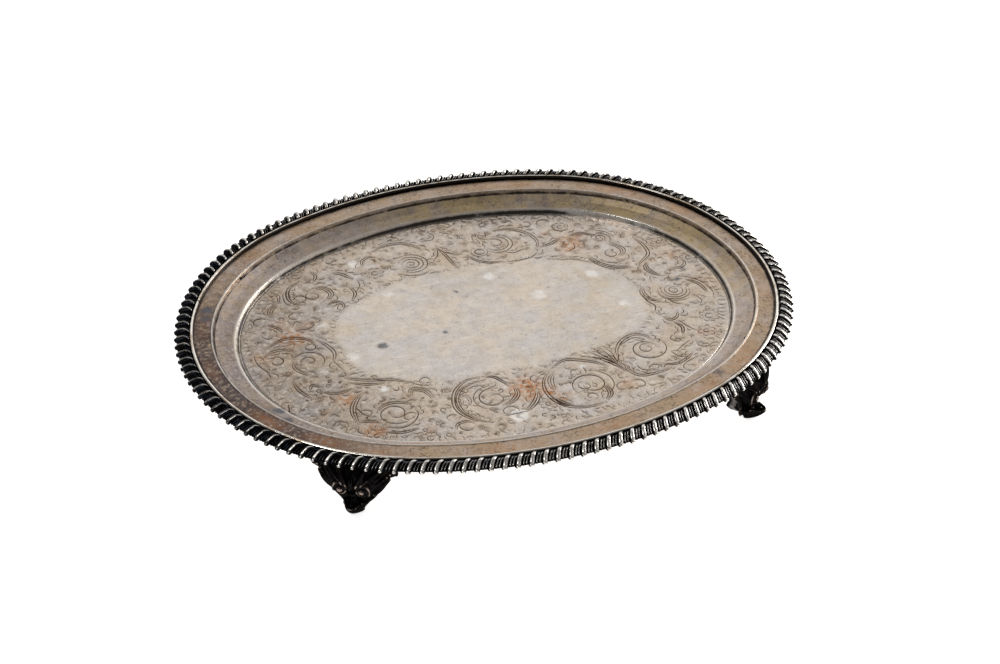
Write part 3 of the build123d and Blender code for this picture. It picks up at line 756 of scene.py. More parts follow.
def make_rim(material):
    """Riser, cavetto and flange as one closed ring of sheet, its underside included."""
    upper = subdivided(rounded_line(RIM_CORNERS), 0.55)
    lower = upper[::-6] - np.array([0, SHEET, 0])
    lower = np.concatenate([lower, [upper[0] - np.array([0, SHEET, 0])]])
    profile = np.concatenate([upper, lower])
    rows = []
    for offset, height, sway in profile:
        plan = rim_points(RING, offset + sway * np.cos(2 * RING))
        flange = np.clip((offset + 25) / 8, 0, 1) * np.clip((2 - offset) / 3, 0, 1)
        wave = 0.07 * ripple(plan[:, 0] * 1.3, plan[:, 1] * 1.3) * flange
        rows.append(np.column_stack([plan, height + wave]))
    points = np.concatenate(rows)
    offsets = np.repeat(profile[:, 0], len(RING))
    on_top = np.repeat(np.arange(len(profile)) < len(upper), len(RING)).astype(float)
    x, y = points[:, 0], points[:, 1]
    marks = {"white": spots(x, y, WHITE_SPOTS)}
    marks["copper"] = spots(x, y, RIM_COPPER) * bump(offsets, -6, 9) * 0.85
    marks["blue"] = spots(x, y, RIM_BLUE)
    # Painted shade: near-black lines painted at the wire's foot, along the foot of the riser and under the
    # ridge. They are eased at the far left and at the riser's bright spots, and darker along the far side's
    # riser.
    shade_eased = np.clip((-30 - x) / 40, 0, 1) * np.clip(y / 40, 0, 1)
    shine = np.clip(spots(x, y, RISER_GLEAMS), 0, 1)
    corner = (1.2 - 0.9 * shade_eased) * bump(offsets, WIRE_INNER - 0.4, 2.0)
    corner += 1.1 * (1 - 0.85 * shine) * bump(offsets, -25.2, 0.8) + bump(offsets, -25.7, 0.35)
    corner += 1.1 * bump(offsets, -13.5, 1.1) + 0.55 * bump(offsets, -10.9, 0.7)
    far = np.clip((x * FAR_WAY[0] + y * FAR_WAY[1] - 10) / 60, 0, 1) * np.clip((x + 40) / 40, 0, 1)
    corner += far * (0.8 * (1 - shine) * bump(offsets, -25.1, 1.0) + 0.3 * bump(offsets, -14.0, 1.4))
    marks["painted_shade"] = np.clip(corner, 0, 1) * on_top
    # Painted highlight: a bright line painted along the ridge all round, and along the top of the riser away
    # from the far side and at its bright spots. The same mark also lowers the roughness.
    gleam = np.maximum(1 - far, 1.6 * shine)
    bright = bump(offsets, -12.2, 0.9) + 0.9 * gleam * bump(offsets, -24.3, 0.9)
    marks["polish_and_highlight"] = np.clip(bright, 0, 1) * on_top
    marks["ochre"] = (np.clip((offsets + 24) / 2, 0, 0.7) + np.clip((offsets + 12.0) / 1.2, 0, 0.3)) * on_top
    marks["cavetto"] = np.clip((-12.8 - offsets) / 1.5, 0, 1) * np.clip(offsets + 24.4, 0, 1) * on_top
    marks["olive"] = far * marks["cavetto"]
    marks["tarnish"] = np.clip((-x - 80) / 50, 0, 1) * np.clip((95 - y) / 60, 0.25, 1) * on_top
    marks["tarnish"] *= np.clip((offsets + 24) / 3, 0, 0.5) + np.clip((offsets + 14) / 2, 0, 0.5)
    faces = [face[::-1] for face in grid_faces(len(profile), len(RING), wrap_across=True, wrap_along=True)]
    return finish_piece(make_piece("tray_rim", points, faces, marks), material, "plated_sheet", "tray_plate")


# ---------------------------------------------------------------- the fillet wire
SEAM_TURN = math.radians(152)
SEAM_GAP = 0.25
WIRE_PROFILE = [
    (WIRE_INNER, FLANGE_Z - 0.02), (WIRE_INNER - 0.03, FLANGE_Z + 0.7), (-1.22, FLANGE_Z + 1.35),
    (-0.85, CREST_Z - 0.25), (-0.45, CREST_Z - 0.04), (0.0, CREST_Z - 0.02), (0.42, CREST_Z - 0.22),
    (0.8, CREST_Z - 0.7), (WIRE_OUTER, FLANGE_Z + 0.9), (WIRE_OUTER, FLANGE_Z - 0.02),
]  # fmt: skip


def make_wire(material):
    """The plain wire, butted at its one seam."""
    half_gap = SEAM_GAP / 2 / END_RADIUS
    turns = even_turns(SEAM_TURN + half_gap, SEAM_TURN + FULL_TURN - half_gap, 1000)
    rows = []
    for offset, height in WIRE_PROFILE:
        plan = rim_points(turns, offset + 0.05 * np.sin(turns * 23) * np.sin(turns * 7 + 1))
        rows.append(np.column_stack([plan, height + 0.04 * np.sin(turns * 31 + 2) * np.sin(turns * 5)]))
    points = np.concatenate(rows)
    offsets = np.repeat([offset for offset, _ in WIRE_PROFILE], len(turns))
    heights = np.repeat([height for _, height in WIRE_PROFILE], len(turns))
    # Wear and painted highlight along the crest; painted shade at the wire's foot where it meets the flange.
    wear_and_highlight = np.clip((heights - CREST_Z + 0.9) / 0.7, 0, 1) * np.clip(1.3 - np.abs(offsets + 0.1), 0, 1)
    marks = {"polish_and_highlight": wear_and_highlight, "painted_shade": np.clip((FLANGE_Z + 1.3 - heights) / 0.7, 0, 1)}
    faces = [face[::-1] for face in grid_faces(len(WIRE_PROFILE), len(turns), wrap_across=True)]
    first = [row * len(turns) for row in range(len(WIRE_PROFILE))]
    last = [row * len(turns) + len(turns) - 1 for row in range(len(WIRE_PROFILE))]
    faces += [first, last[::-1]]
    piece = make_piece("fillet_wire_worn", points, faces, marks)
    return finish_piece(piece, material, "plated_wire", "fillet_wire")


# ---------------------------------------------------------------- the gadrooned border
GADROONS_PER_HALF_END = 22
GADROONS_PER_SIDE = 28
SAMPLES_PER_GADROON = 36
# How far a gadroon leans along the rim from its inner end to its outer one, and the length of a repeat
LEAN = 3.9
PITCH = 6.6
# Where in its repeat each length begins
PHASE = 0.13
# Upper skin of the border before the gadroons are cut into it: offset and height
BORDER_LINE = [
    (1.1, CREST_Z - 0.9), (1.7, CREST_Z - 0.4), (2.7, CREST_Z + 0.05), (4.1, CREST_Z + 0.15),
    (5.5, CREST_Z - 0.5), (6.9, CREST_Z - 1.2), (8.1, CREST_Z - 2.0), (8.8, CREST_Z - 2.9),
    (8.4, CREST_Z - 3.8), (7.0, CREST_Z - 4.1),
]  # fmt: skip
BORDER_ROWS = 34
BORDER_UNDER = [(6.2, CREST_Z - 3.7), (SHEET_EDGE, CREST_Z - 3.35), (SHEET_EDGE - 0.6, CREST_Z - 3.4)]
LENGTHS = [
    (1, -JOIN, 0, GADROONS_PER_HALF_END),
    (2, 0, JOIN, GADROONS_PER_HALF_END),
    (3, JOIN, math.pi - JOIN, GADROONS_PER_SIDE),
    (4, math.pi - JOIN, math.pi, GADROONS_PER_HALF_END),
    (5, math.pi, math.pi + JOIN, GADROONS_PER_HALF_END),
    (6, math.pi + JOIN, 2 * math.pi - JOIN, GADROONS_PER_SIDE),
]
# One repeat: middle, half width and height of the lobe and its two reeds, where each ends and how strongly
# its crest is painted bright as wear and highlight
LOBES = [(0.27, 0.25, 1.9, 0.96, 1.0), (0.66, 0.1, 1.0, 0.84, 0.6), (0.89, 0.1, 1.0, 0.82, 0.6)]
GROOVE = 1.45
# How much prouder the gadroons stand on the bent side, as a share of their height
FAR_STAND = 0.55
NECK_SHARE = 0.71


def border_line():
    """Evenly spaced points on the border's skin, and the outward normal at each."""
    line = evenly(through(BORDER_LINE), BORDER_ROWS)
    return line, left_of(line)


def gadroon_height(phase, share):
    """Height of the relief above the groove, and how strongly it is painted bright as wear and highlight, at
    one share of the way down the skin.
    """
    height, wear_and_highlight = np.zeros(phase.shape), np.zeros(phase.shape)
    rise = min(1, share / 0.07) ** 0.6
    neck = 1 - 0.4 * bump(np.array(share), NECK_SHARE, 0.05)
    for middle, half, tall, end, rubbed_and_highlit in LOBES:
        away = np.abs((phase - middle + 0.5) % 1 - 0.5) / half
        dome = np.sqrt(np.clip(1 - away**2.4, 0, 1))
        stand = rise * neck * max(0, min(1, (end - share) / 0.07)) ** 0.5
        height = np.maximum(height, tall * dome * stand)
        wear_and_highlight = np.maximum(wear_and_highlight, np.clip(1.32 - 1.35 * away, 0, 1) * rubbed_and_highlit * stand)
    return height, wear_and_highlight


def make_length(number, first, last, count, material):
    """One stamped length of border with its gadroons."""
    columns = count * SAMPLES_PER_GADROON + 1
    turns = even_turns(first, last, columns)
    repeats = np.linspace(0, count, columns)
    line, normals = border_line()
    share = np.linspace(0, 1, BORDER_ROWS)
    lean = LEAN / PITCH * (1 - (1 - share) ** 2.3)
    # Painted highlight: the lobes' crests are painted bright, fading toward the left end of the tray.
    highlight_fade_left = 0.56 + 0.44 * np.clip((rim_points(turns, SHEET_EDGE)[:, 0] + 150) / 90, 0, 1)
    stand = 1 + FAR_STAND * np.clip(rim_points(turns, 0)[:, 1] / 110, 0, 1)
    rows, polish_and_highlight = [], []
    for row, ((offset, height), normal) in enumerate(zip(line, normals)):
        relief, wear_and_highlight = gadroon_height((repeats + lean[row] + PHASE) % 1, share[row])
        fade = np.clip(share[row] / 0.06, 0, 1) * np.clip((1.02 - share[row]) / 0.1, 0, 1)
        depth = (relief * stand - GROOVE) * fade
        edge = (repeats[-1] - repeats) * repeats
        depth = depth * np.clip(edge * 3, 0.35, 1)
        plan = rim_points(turns, offset + normal[0] * depth)
        rows.append(np.column_stack([plan, height + normal[1] * depth]))
        polish_and_highlight.append(wear_and_highlight * highlight_fade_left * fade * np.clip((1.05 - share[row]) / 0.3, 0, 1))
    for offset, height in BORDER_UNDER:
        rows.append(np.column_stack([rim_points(turns, offset), np.full(columns, height)]))
        polish_and_highlight.append(np.zeros(columns))
    rows.append(np.column_stack([rim_points(turns, SHEET_EDGE - 0.6), np.full(columns, FLANGE_Z - 0.6)]))
    rows.append(np.column_stack([rim_points(turns, 1.15), np.full(columns, FLANGE_Z - 0.02)]))
    polish_and_highlight += [np.zeros(columns), np.zeros(columns)]
    across = len(rows)
    faces = [face[::-1] for face in grid_faces(across, columns, wrap_across=True)]
    start = [row * columns for row in range(across)]
    faces += [start, [k + columns - 1 for k in start][::-1]]
    marks = {"polish_and_highlight": np.concatenate(polish_and_highlight)}
    piece = make_piece(f"gadroon_border_{number}", np.concatenate(rows), faces, marks)
    return finish_piece(piece, material, "gadroon_silver", f"gadroon_mount_{number}", f"mount_fill_{number}")


# ---------------------------------------------------------------- the bracket feet
FOOT_TURN = math.radians(54.5)
FEET = [
    (1, END_CENTRE, FOOT_TURN),
    (2, -END_CENTRE, math.pi - FOOT_TURN),
    (3, -END_CENTRE, math.pi + FOOT_TURN),
    (4, END_CENTRE, -FOOT_TURN),
]
UNDER_Z = FLANGE_Z - SHEET
# The foot from the side and from the front, as offset and height, and as height and half width
FOOT_FRONT = [
    (-2.0, UNDER_Z), (1.4, 29.5), (3.6, 27.0), (5.6, 23.6), (6.4, 20.0), (5.4, 16.5),
    (3.0, 13.0), (1.2, 10.0), (0.6, 7.0), (0.4, 3.0),
]  # fmt: skip
FOOT_HALF = [
    (UNDER_Z, 22.0), (27.0, 21.6), (24.0, 20.0), (21.0, 17.6), (18.0, 15.4), (15.0, 13.6), (12.0, 12.5),
    (9.5, 11.4), (7.0, 9.4), (5.0, 7.3), (3.0, 5.6),
]  # fmt: skip
TOE_SIDE = [
    (-4.6, 8.0), (-1.0, 9.2), (2.2, 7.8), (5.4, 6.3), (8.0, 6.5), (9.6, 7.4), (10.4, 6.8), (10.2, 5.3),
    (8.6, 3.3), (6.4, 1.3), (4.4, 0.1), (2.6, 0.0), (1.6, 1.2), (0.4, 2.0), (-0.8, 1.4), (-1.6, 0.1),
    (-2.8, 0.0), (-4.6, 3.6),
]  # fmt: skip
TOE_HALF = 5.0
BOSS_ACROSS = 5.8
BOSS_HEIGHT = 16.4
WING_SET_BACK = 7.5
FOOT_WIDEST = 22.0
FRONT_DEPTH = 2.4
FILL_DEPTH = 3.4
BACK_DEPTH = 1.2
VOXEL = 0.36


# Raised lines on one half of the foot: places across and up, how proud they stand and their radii
FOOT_ROPES = [
    ([(18.6, 22.6), (16.0, 19.4), (13.6, 15.6), (11.4, 12.2)], -0.6, [1.2, 1.5, 1.3]),
    ([(10.6, 11.2), (9.0, 8.6), (7.0, 6.2), (5.4, 3.6)], -0.4, [1.5, 1.3, 0.9]),
    ([(1.2, 11.0), (3.4, 17.0), (7.8, 22.6), (13.6, 27.2), (15.0, 30.5)], 0.1, [0.9, 1.1, 0.8]),
    ([(0.8, 13.0), (2.6, 19.0), (5.0, 25.0), (7.6, 30.5)], 0.4, [0.8, 1.1, 0.7]),
    ([(7.6, 12.4), (10.2, 17.0), (14.0, 21.4), (17.6, 24.0)], 0.1, [0.8, 1.2, 0.8]),
]


class Clay:
    """Closed lumps gathered into one mesh: across, outward and up, in millimetres."""

    def __init__(self):
        self.points = []
        self.faces = []

    def lump(self, points, faces):
        """Add a closed lump."""
        start = len(self.points)
        self.points += [tuple(point) for point in points]
        self.faces += [[start + corner for corner in face] for face in faces]

    def rings(self, rings):
        """A closed skin through rings of the same number of points."""
        along = len(rings[0])
        faces = grid_faces(len(rings), along, wrap_along=True)
        faces.append(list(range(along))[::-1])
        faces.append([(len(rings) - 1) * along + k for k in range(along)])
        self.lump(np.concatenate(rings), faces)

    def rope(self, line, radii):
        """A round rope along a line with a radius at each of its ends or points."""
        line = np.array(line, float)
        fine = smooth_path(line)
        radii = np.interp(np.linspace(0, 1, len(fine)), np.linspace(0, 1, len(radii)), radii)
        along = np.gradient(fine, axis=0)
        along /= np.linalg.norm(along, axis=1)[:, None]
        side = np.cross(along, (0.0, 1.0, 0.05))
        side /= np.linalg.norm(side, axis=1)[:, None]
        up = np.cross(side, along)
        turn = np.linspace(0, FULL_TURN, 11)[:-1]
        circle = np.cos(turn)[:, None, None] * side + np.sin(turn)[:, None, None] * up
        self.rings([fine[k] + circle[:, k] * radii[k] for k in range(len(fine))])

    def ball(self, x, y, z, radius, flat=1.0):
        """A ball, flattened outward if asked."""
        rise = np.linspace(0.12, math.pi - 0.12, 9)
        turn = np.linspace(0, FULL_TURN, 15)[:-1]
        self.rings(
            [
                np.column_stack(
                    [
                        x + radius * math.sin(a) * np.cos(turn),
                        y + radius * flat * math.sin(a) * np.sin(turn),
                        np.full(len(turn), z - radius * math.cos(a)),
                    ]
                )
                for a in rise
            ]
        )


def smooth_path(line):
    """A smooth line through points in space."""
    if len(line) < 3:
        return np.array([line[0] + (line[-1] - line[0]) * t for t in np.linspace(0, 1, 6)])
    ends = np.concatenate([[2 * line[0] - line[1]], line, [2 * line[-1] - line[-2]]])
    t = np.linspace(0, 1, 7, endpoint=False)[:, None]
    runs = [
        0.5 * (2 * b + (c - a) * t + (2 * a - 5 * b + 4 * c - d) * t**2 + (3 * b - a - 3 * c + d) * t**3)
        for a, b, c, d in zip(ends, ends[1:], ends[2:], ends[3:])
    ]
    return np.concatenate([*runs, line[-1:]])


def front_at(height):
    """How far out the foot's front is at a height."""
    heights = [z for _, z in FOOT_FRONT][::-1]
    offsets = [o for o, _ in FOOT_FRONT][::-1]
    return np.interp(height, heights, offsets)


def half_at(height):
    """Half the foot's width at a height."""
    heights = [z for z, _ in FOOT_HALF][::-1]
    halves = [half for _, half in FOOT_HALF][::-1]
    return np.interp(height, heights, halves)


def set_back(across):
    """How far the wings curve back towards the tray's middle."""
    return -WING_SET_BACK * (np.abs(across) / FOOT_WIDEST) ** 2


def foot_layer(near, far, shrink):
    """A plain layer of the foot between two depths behind its front: closed points and faces."""
    clay = Clay()
    rings = []
    for height in np.linspace(4.5, UNDER_Z - 0.1, 24):
        across = np.linspace(-1, 1, 33) * half_at(height) * shrink
        front = front_at(height) + set_back(across)
        ring = [(a, o, height) for a, o in zip(across, front - near)]
        ring += [(a, o, height) for a, o in zip(across[::-1], front[::-1] - far)]
        rings.append(np.array(ring))
    clay.rings(rings)
    return np.array(clay.points), clay.faces, np.zeros(len(clay.points))


def foot_shell(clay):
    """The stamped front: a fluted shell that narrows to the ankle."""
    rings = []
    for height in np.linspace(3.0, UNDER_Z - 0.1, 40):
        half = half_at(height)
        across = np.linspace(-1, 1, 49) * half
        fan = np.arctan2(across, height + 2.0)
        flutes = 0.55 * np.cos(fan * 26) * np.clip((height - 7) / 8, 0, 1)
        front = front_at(height) + set_back(across) + flutes
        back = front_at(height) + set_back(across) - FRONT_DEPTH
        ring = [(a, o, height) for a, o in zip(across, front)]
        ring += [(a, o, height) for a, o in zip(across[::-1], back[::-1])]
        rings.append(np.array(ring))
    clay.rings(rings)


def volute(clay, x, z, radius, turns, thick, flip):
    """A raised spiral with a ball in its eye."""
    angle = np.linspace(0, turns * FULL_TURN, int(12 * turns) + 1)
    reach = np.linspace(radius, 0.28 * radius, len(angle))
    line = np.column_stack(
        [
            x + flip * reach * np.cos(angle - 0.6),
            front_at(z) + set_back(x) + np.linspace(0.3, 1.3, len(angle)),
            z + reach * np.sin(angle - 0.6),
        ]
    )
    clay.rope(line, [thick, thick, thick * 0.7])
    clay.ball(x, front_at(z) + set_back(x) + 1.5, z, radius * 0.52)


def on_front(flip, places, proud):
    """Points on the foot's front from distances across and heights, standing a little proud."""
    return [(flip * a, front_at(z) + set_back(a) + proud, z) for a, z in places]


def foot_scrolls(clay, flip):
    """Scrolled edge, wing volute and boss of one half of the foot."""
    volute(clay, flip * 19.4, 25.8, 2.8, 1.6, 1.0, flip)
    volute(clay, flip * BOSS_ACROSS, BOSS_HEIGHT, 3.8, 1.6, 1.3, flip)
    for places, proud, radii in FOOT_ROPES:
        clay.rope(on_front(flip, places, proud), radii)
    toe_vein = [(0.8, 0.9, 10.6), (2.0, 2.6, 8.2), (2.8, 5.4, 6.6), (2.4, 8.6, 6.6)]
    clay.rope([(flip * a, o, z) for a, o, z in toe_vein], [0.9, 0.8, 0.6])
    clay.ball(flip * 4.2, 1.2, 4.6, 2.0, 1.3)


def foot_toe(clay):
    """The cast toe: a hollow hoof that flares outward to an upturned tip."""
    rings = []
    for across in np.linspace(-TOE_HALF, TOE_HALF, 17):
        narrow = 1 - 0.5 * (across / TOE_HALF) ** 2
        rings.append(np.array([(across, -3 + (o + 3) * narrow, z) for o, z in TOE_SIDE]))
    clay.rings(rings)
    clay.rope([(0, 2.0, 12.0), (0, 2.4, 9.0), (0, 5.0, 7.4), (0, 8.0, 6.6)], [1.5, 1.3, 0.8])


def sculpted_foot():
    """One foot in its own frame, remeshed into a single skin."""
    clay = Clay()
    foot_shell(clay)
    foot_toe(clay)
    for flip in (-1, 1):
        foot_scrolls(clay, flip)
    clay.rope(on_front(1, [(0, 11.0), (0, 20.0), (0, 30.6)], 0.7), [1.1, 1.4, 0.9])
    clay.ball(0, front_at(11.5) + 0.8, 11.2, 1.9)
    rough = make_piece("foot_clay", clay.points, clay.faces)
    remesh = rough.modifiers.new("skin", "REMESH")
    remesh.mode = "VOXEL"
    remesh.voxel_size = VOXEL * MM
    soften = rough.modifiers.new("soften", "SMOOTH")
    soften.factor = 0.5
    soften.iterations = 2
    graph = bpy.context.evaluated_depsgraph_get()
    mesh = bpy.data.meshes.new_from_object(rough.evaluated_get(graph))
    points = np.array([v.co for v in mesh.vertices]) / MM
    faces = [list(p.vertices) for p in mesh.polygons]
    normals = np.array([v.normal for v in mesh.vertices])
    edges = np.array([e.vertices for e in mesh.edges])
    total, count = np.zeros_like(points), np.zeros(len(points))
    for a, b in ((0, 1), (1, 0)):
        np.add.at(total, edges[:, a], points[edges[:, b]])
        np.add.at(count, edges[:, a], 1)
    # Wear and painted highlight: convex places get the bright mark, and the bosses' outward faces more
    # strongly as painted highlights.
    stand = ((points - total / count[:, None]) * normals).sum(1)
    from_boss = np.hypot(np.abs(points[:, 0]) - BOSS_ACROSS, points[:, 2] - BOSS_HEIGHT)
    stand *= np.where((from_boss < 4.6) & (normals[:, 1] > 0.2), 1.7, 1.0)
    bpy.data.objects.remove(rough)
    return points, faces, np.clip(stand / 0.05, 0, 1)


def make_foot_piece(name, centre, turn, shape, material, slot, *nodes):
    """A piece of one foot, moved from the foot's own frame to its place under the rim."""
    points, faces, wear_and_highlight = shape
    across, out, up = points.T
    reach = END_RADIUS + out
    x = centre + reach * math.cos(turn) - across * math.sin(turn)
    y = reach * math.sin(turn) + across * math.cos(turn)
    height = np.where(up < 1, np.maximum(up, 0), up)
    piece = make_piece(name, np.column_stack([x, y, height]), faces, {"polish_and_highlight": wear_and_highlight})
    return finish_piece(piece, material, slot, *nodes)


# ---------------------------------------------------------------- materials
def linear(red, green, blue):
    """A colour from its everyday 0 to 255 values."""
    parts = [value / 255 for value in (red, green, blue)]
    parts = [part / 12.92 if part <= 0.04045 else ((part + 0.055) / 1.055) ** 2.4 for part in parts]
    return (*parts, 1.0)


class Recipe:
    """A material's node tree with short calls for the nodes used here. Distances are in millimetres."""

    def __init__(self, name):
        self.material = bpy.data.materials.new(name)
        self.material.use_nodes = True
        self.tree = self.material.node_tree
        self.surface = self.tree.nodes["Principled BSDF"]
        place = self.add("ShaderNodeTexCoord").outputs["Object"]
        self.place = self.add(
            "ShaderNodeVectorMath", {0: place, 1: (1 / MM,) * 3}, operation="MULTIPLY"
        ).outputs[0]

    def add(self, kind, inputs=None, **settings):
        node = self.tree.nodes.new(kind)
        for key, value in settings.items():
            setattr(node, key, value)
        for key, value in (inputs or {}).items():
            if isinstance(value, bpy.types.NodeSocket):
                self.tree.links.new(value, node.inputs[key])
            else:
                node.inputs[key].default_value = value
        return node

    def noise(self, size, detail=4.0, roughness=0.55, place=None, distort=0.0):
        """Noise with features of about this size."""
        inputs = {
            "Vector": place or self.place,
            "Scale": 1 / size,
            "Detail": detail,
            "Roughness": roughness,
            "Distortion": distort,
        }
        return self.add("ShaderNodeTexNoise", inputs).outputs["Fac"]

    def stretched(self, along, across, turn):
        """Coordinates squeezed so that noise makes fine lines, turned about the vertical by degrees."""
        inputs = {
            "Vector": self.place,
            "Rotation": (0, 0, math.radians(turn)),
            "Scale": (1 / along, 1 / across, 1 / across),
        }
        return self.add("ShaderNodeMapping", inputs).outputs[0]

    def range(self, value, low, high, to_low=0.0, to_high=1.0):
        inputs = {"Value": value, "From Min": low, "From Max": high, "To Min": to_low, "To Max": to_high}
        node = self.add("ShaderNodeMapRange", inputs, interpolation_type="SMOOTHSTEP")
        return node.outputs[0]

    def math(self, operation, first, second=0.0, clamp=True):
        inputs = {0: first, 1: second}
        return self.add("ShaderNodeMath", inputs, operation=operation, use_clamp=clamp).outputs[0]

    def times(self, first, second, clamp=True):
        return self.math("MULTIPLY", first, second, clamp)

    def patches(self, size, detail, roughness, *limits):
        """Noise turned into patches by the limits of a smooth range."""
        return self.range(self.noise(size, detail, roughness), *limits)

    def cover(self, below, above, mask, *shares):
        """One colour laid over another where a mask says, times any further shares."""
        for share in shares:
            mask = self.times(mask, share)
        return self.mix(mask, below, above)

    def mark(self, name):
        return self.add("ShaderNodeAttribute", attribute_name=name).outputs["Fac"]

    def mix(self, factor, first, second):
        return self.add("ShaderNodeMix", {0: factor, 6: first, 7: second}, data_type="RGBA").outputs[2]

    def bump(self, height, depth):
        """A bump from a height in 0 to 1 and its depth in millimetres."""
        node = self.add("ShaderNodeBump", {"Height": height, "Distance": depth * MM, "Strength": 1.0})
        self.tree.links.new(node.outputs[0], self.surface.inputs["Normal"])

    def finish(self, colour, roughness, metallic=1.0):
        for name, value in (("Base Color", colour), ("Roughness", roughness), ("Metallic", metallic)):
            if isinstance(value, bpy.types.NodeSocket):
                self.tree.links.new(value, self.surface.inputs[name])
            else:
                self.surface.inputs[name].default_value = value
        return self.material


WARM = linear(230, 216, 200)
COOL = linear(222, 214, 208)
BRIGHT = linear(250, 244, 234)
YELLOW = linear(206, 182, 138)
LILAC = linear(188, 178, 176)
WHITE_BLOOM = linear(250, 246, 240)
BLUE_GREY = linear(84, 88, 98)
UMBER = linear(62, 44, 32)
CUT_BROWN = linear(60, 38, 22)
# Near black, used for oxide and for painted shade.
OXIDE_AND_SHADE_BLACK = linear(20, 18, 18)
COPPER = linear(196, 128, 70)
OCHRE = linear(180, 148, 108)
FLANGE_TAN = linear(182, 162, 146)
PLUM = linear(66, 56, 60)


def plated_sheet():
    """Old silver plate: warm and cool clouds, pits, scratches, copper bleed, and oxide in every cut."""
    r = Recipe("tarnished_plate")
    clouds = r.patches(26, 6, 0.65, 0.38, 0.62)
    colour = r.mix(clouds, WARM, COOL)
    yellow = r.times(r.range(r.noise(40, 6, 0.65, distort=0.6), 0.5, 0.74), 0.35)
    colour = r.mix(yellow, colour, YELLOW)
    smears = r.range(r.noise(1.0, 5, 0.7, r.stretched(16, 2.2, 24)), 0.54, 0.74)
    colour = r.cover(colour, WHITE_BLOOM, smears, 0.55)
    dust = r.patches(0.7, 4, 0.7, 0.5, 0.7)
    colour = r.cover(colour, UMBER, dust, 0.3)
    lilac = r.times(r.mark("cavetto"), r.patches(7, 5, 0.7, 0.4, 0.6))
    tan = r.times(r.mark("ochre"), r.patches(16, 6, 0.65, 0.3, 0.62))
    colour = r.cover(colour, FLANGE_TAN, r.mark("ochre"), 0.8)
    colour = r.cover(colour, OCHRE, tan, 0.6)
    colour = r.cover(colour, LILAC, lilac, 0.6)
    olive = r.times(r.mark("olive"), r.patches(12, 6, 0.7, 0.3, 0.62))
    colour = r.cover(colour, YELLOW, olive, 0.9)
    mottle = r.patches(3.4, 6, 0.7, 0.52, 0.8)
    colour = r.cover(colour, UMBER, mottle, 0.42)
    flecks = r.times(r.patches(1.3, 6, 0.75, 0.48, 0.62), r.patches(10, 5, 0.65, 0.34, 0.62))
    colour = r.cover(colour, UMBER, flecks, r.range(r.mark("ochre"), 0.0, 1.0, 0.12, 0.8))
    tarnish = r.times(r.mark("tarnish"), r.patches(3, 6, 0.78, 0.3, 0.56))
    colour = r.cover(colour, PLUM, tarnish, 0.92)
    warmth = r.times(r.mark("band"), r.patches(9, 6, 0.7, 0.36, 0.64))
    colour = r.cover(colour, OCHRE, warmth, 0.3)
    haze = r.times(r.mark("band"), r.patches(1.5, 6, 0.78, 0.47, 0.68))
    colour = r.cover(colour, UMBER, haze, 0.28)
    colour = r.cover(colour, OCHRE, r.mark("crowd"), 0.3)
    copper = r.times(r.mark("copper"), r.patches(3, 6, 0.75, 0.38, 0.64))
    colour = r.mix(copper, colour, COPPER)
    blue = r.range(r.times(r.mark("blue"), r.noise(1.6, 5, 0.7), clamp=False), 0.16, 0.4)
    colour = r.cover(colour, BLUE_GREY, blue, 0.8)
    white = r.range(r.times(r.mark("white"), r.noise(4, 6, 0.72), clamp=False), 0.16, 0.38)
    colour = r.cover(colour, WHITE_BLOOM, white, 0.75)
    pits = r.patches(0.9, 2, 0.5, 0.68, 0.76)
    gate = r.patches(13, 3, 0.6, 0.44, 0.66)
    pits = r.times(pits, r.math("MAXIMUM", gate, r.times(r.mark("olive"), 0.8)))
    colour = r.cover(colour, UMBER, pits, 0.8)
    fine = r.range(r.noise(1.0, 3, 0.6, r.stretched(46, 0.5, 62)), 0.6, 0.78)
    cross = r.range(r.noise(1.0, 3, 0.6, r.stretched(30, 0.4, -18)), 0.63, 0.8)
    scratches = r.math("MAXIMUM", fine, cross)
    colour = r.cover(colour, BLUE_GREY, scratches, 0.3)
    # Painted shade: near black laid in the rim's corners and along its riser.
    painted_shade = r.range(r.times(r.mark("painted_shade"), r.noise(7, 5, 0.65), clamp=False), 0.16, 0.46)
    colour = r.cover(colour, OXIDE_AND_SHADE_BLACK, painted_shade, 0.92)
    cut = r.range(r.mark("cut"), 0.04, 0.6)
    colour = r.cover(colour, CUT_BROWN, cut, r.patches(14, 4, 0.6, 0.2, 0.62, 0.65, 1.0))
    # Painted highlight: bright colour laid on the rim's ridge and riser by the polish mark, which also lowers
    # the roughness.
    rubbed_and_highlit = r.times(r.mark("polish_and_highlight"), r.patches(9, 5, 0.65, 0.3, 0.6, 0.5, 1.0))
    colour = r.cover(colour, BRIGHT, rubbed_and_highlit, 0.8)
    shine = r.times(r.mark("polish_and_highlight"), 0.16)
    roughness = r.patches(6, 5, 0.65, 0.3, 0.7, 0.3, 0.48)
    roughness = r.math("SUBTRACT", roughness, shine)
    roughness = r.math("ADD", roughness, r.times(pits, 0.3))
    height = r.math("SUBTRACT", r.noise(2.2, 5, 0.6), r.times(pits, 0.6), clamp=False)
    height = r.math("SUBTRACT", height, r.times(scratches, 0.25), clamp=False)
    r.bump(height, 0.05)
    return r.finish(colour, roughness, 0.94)


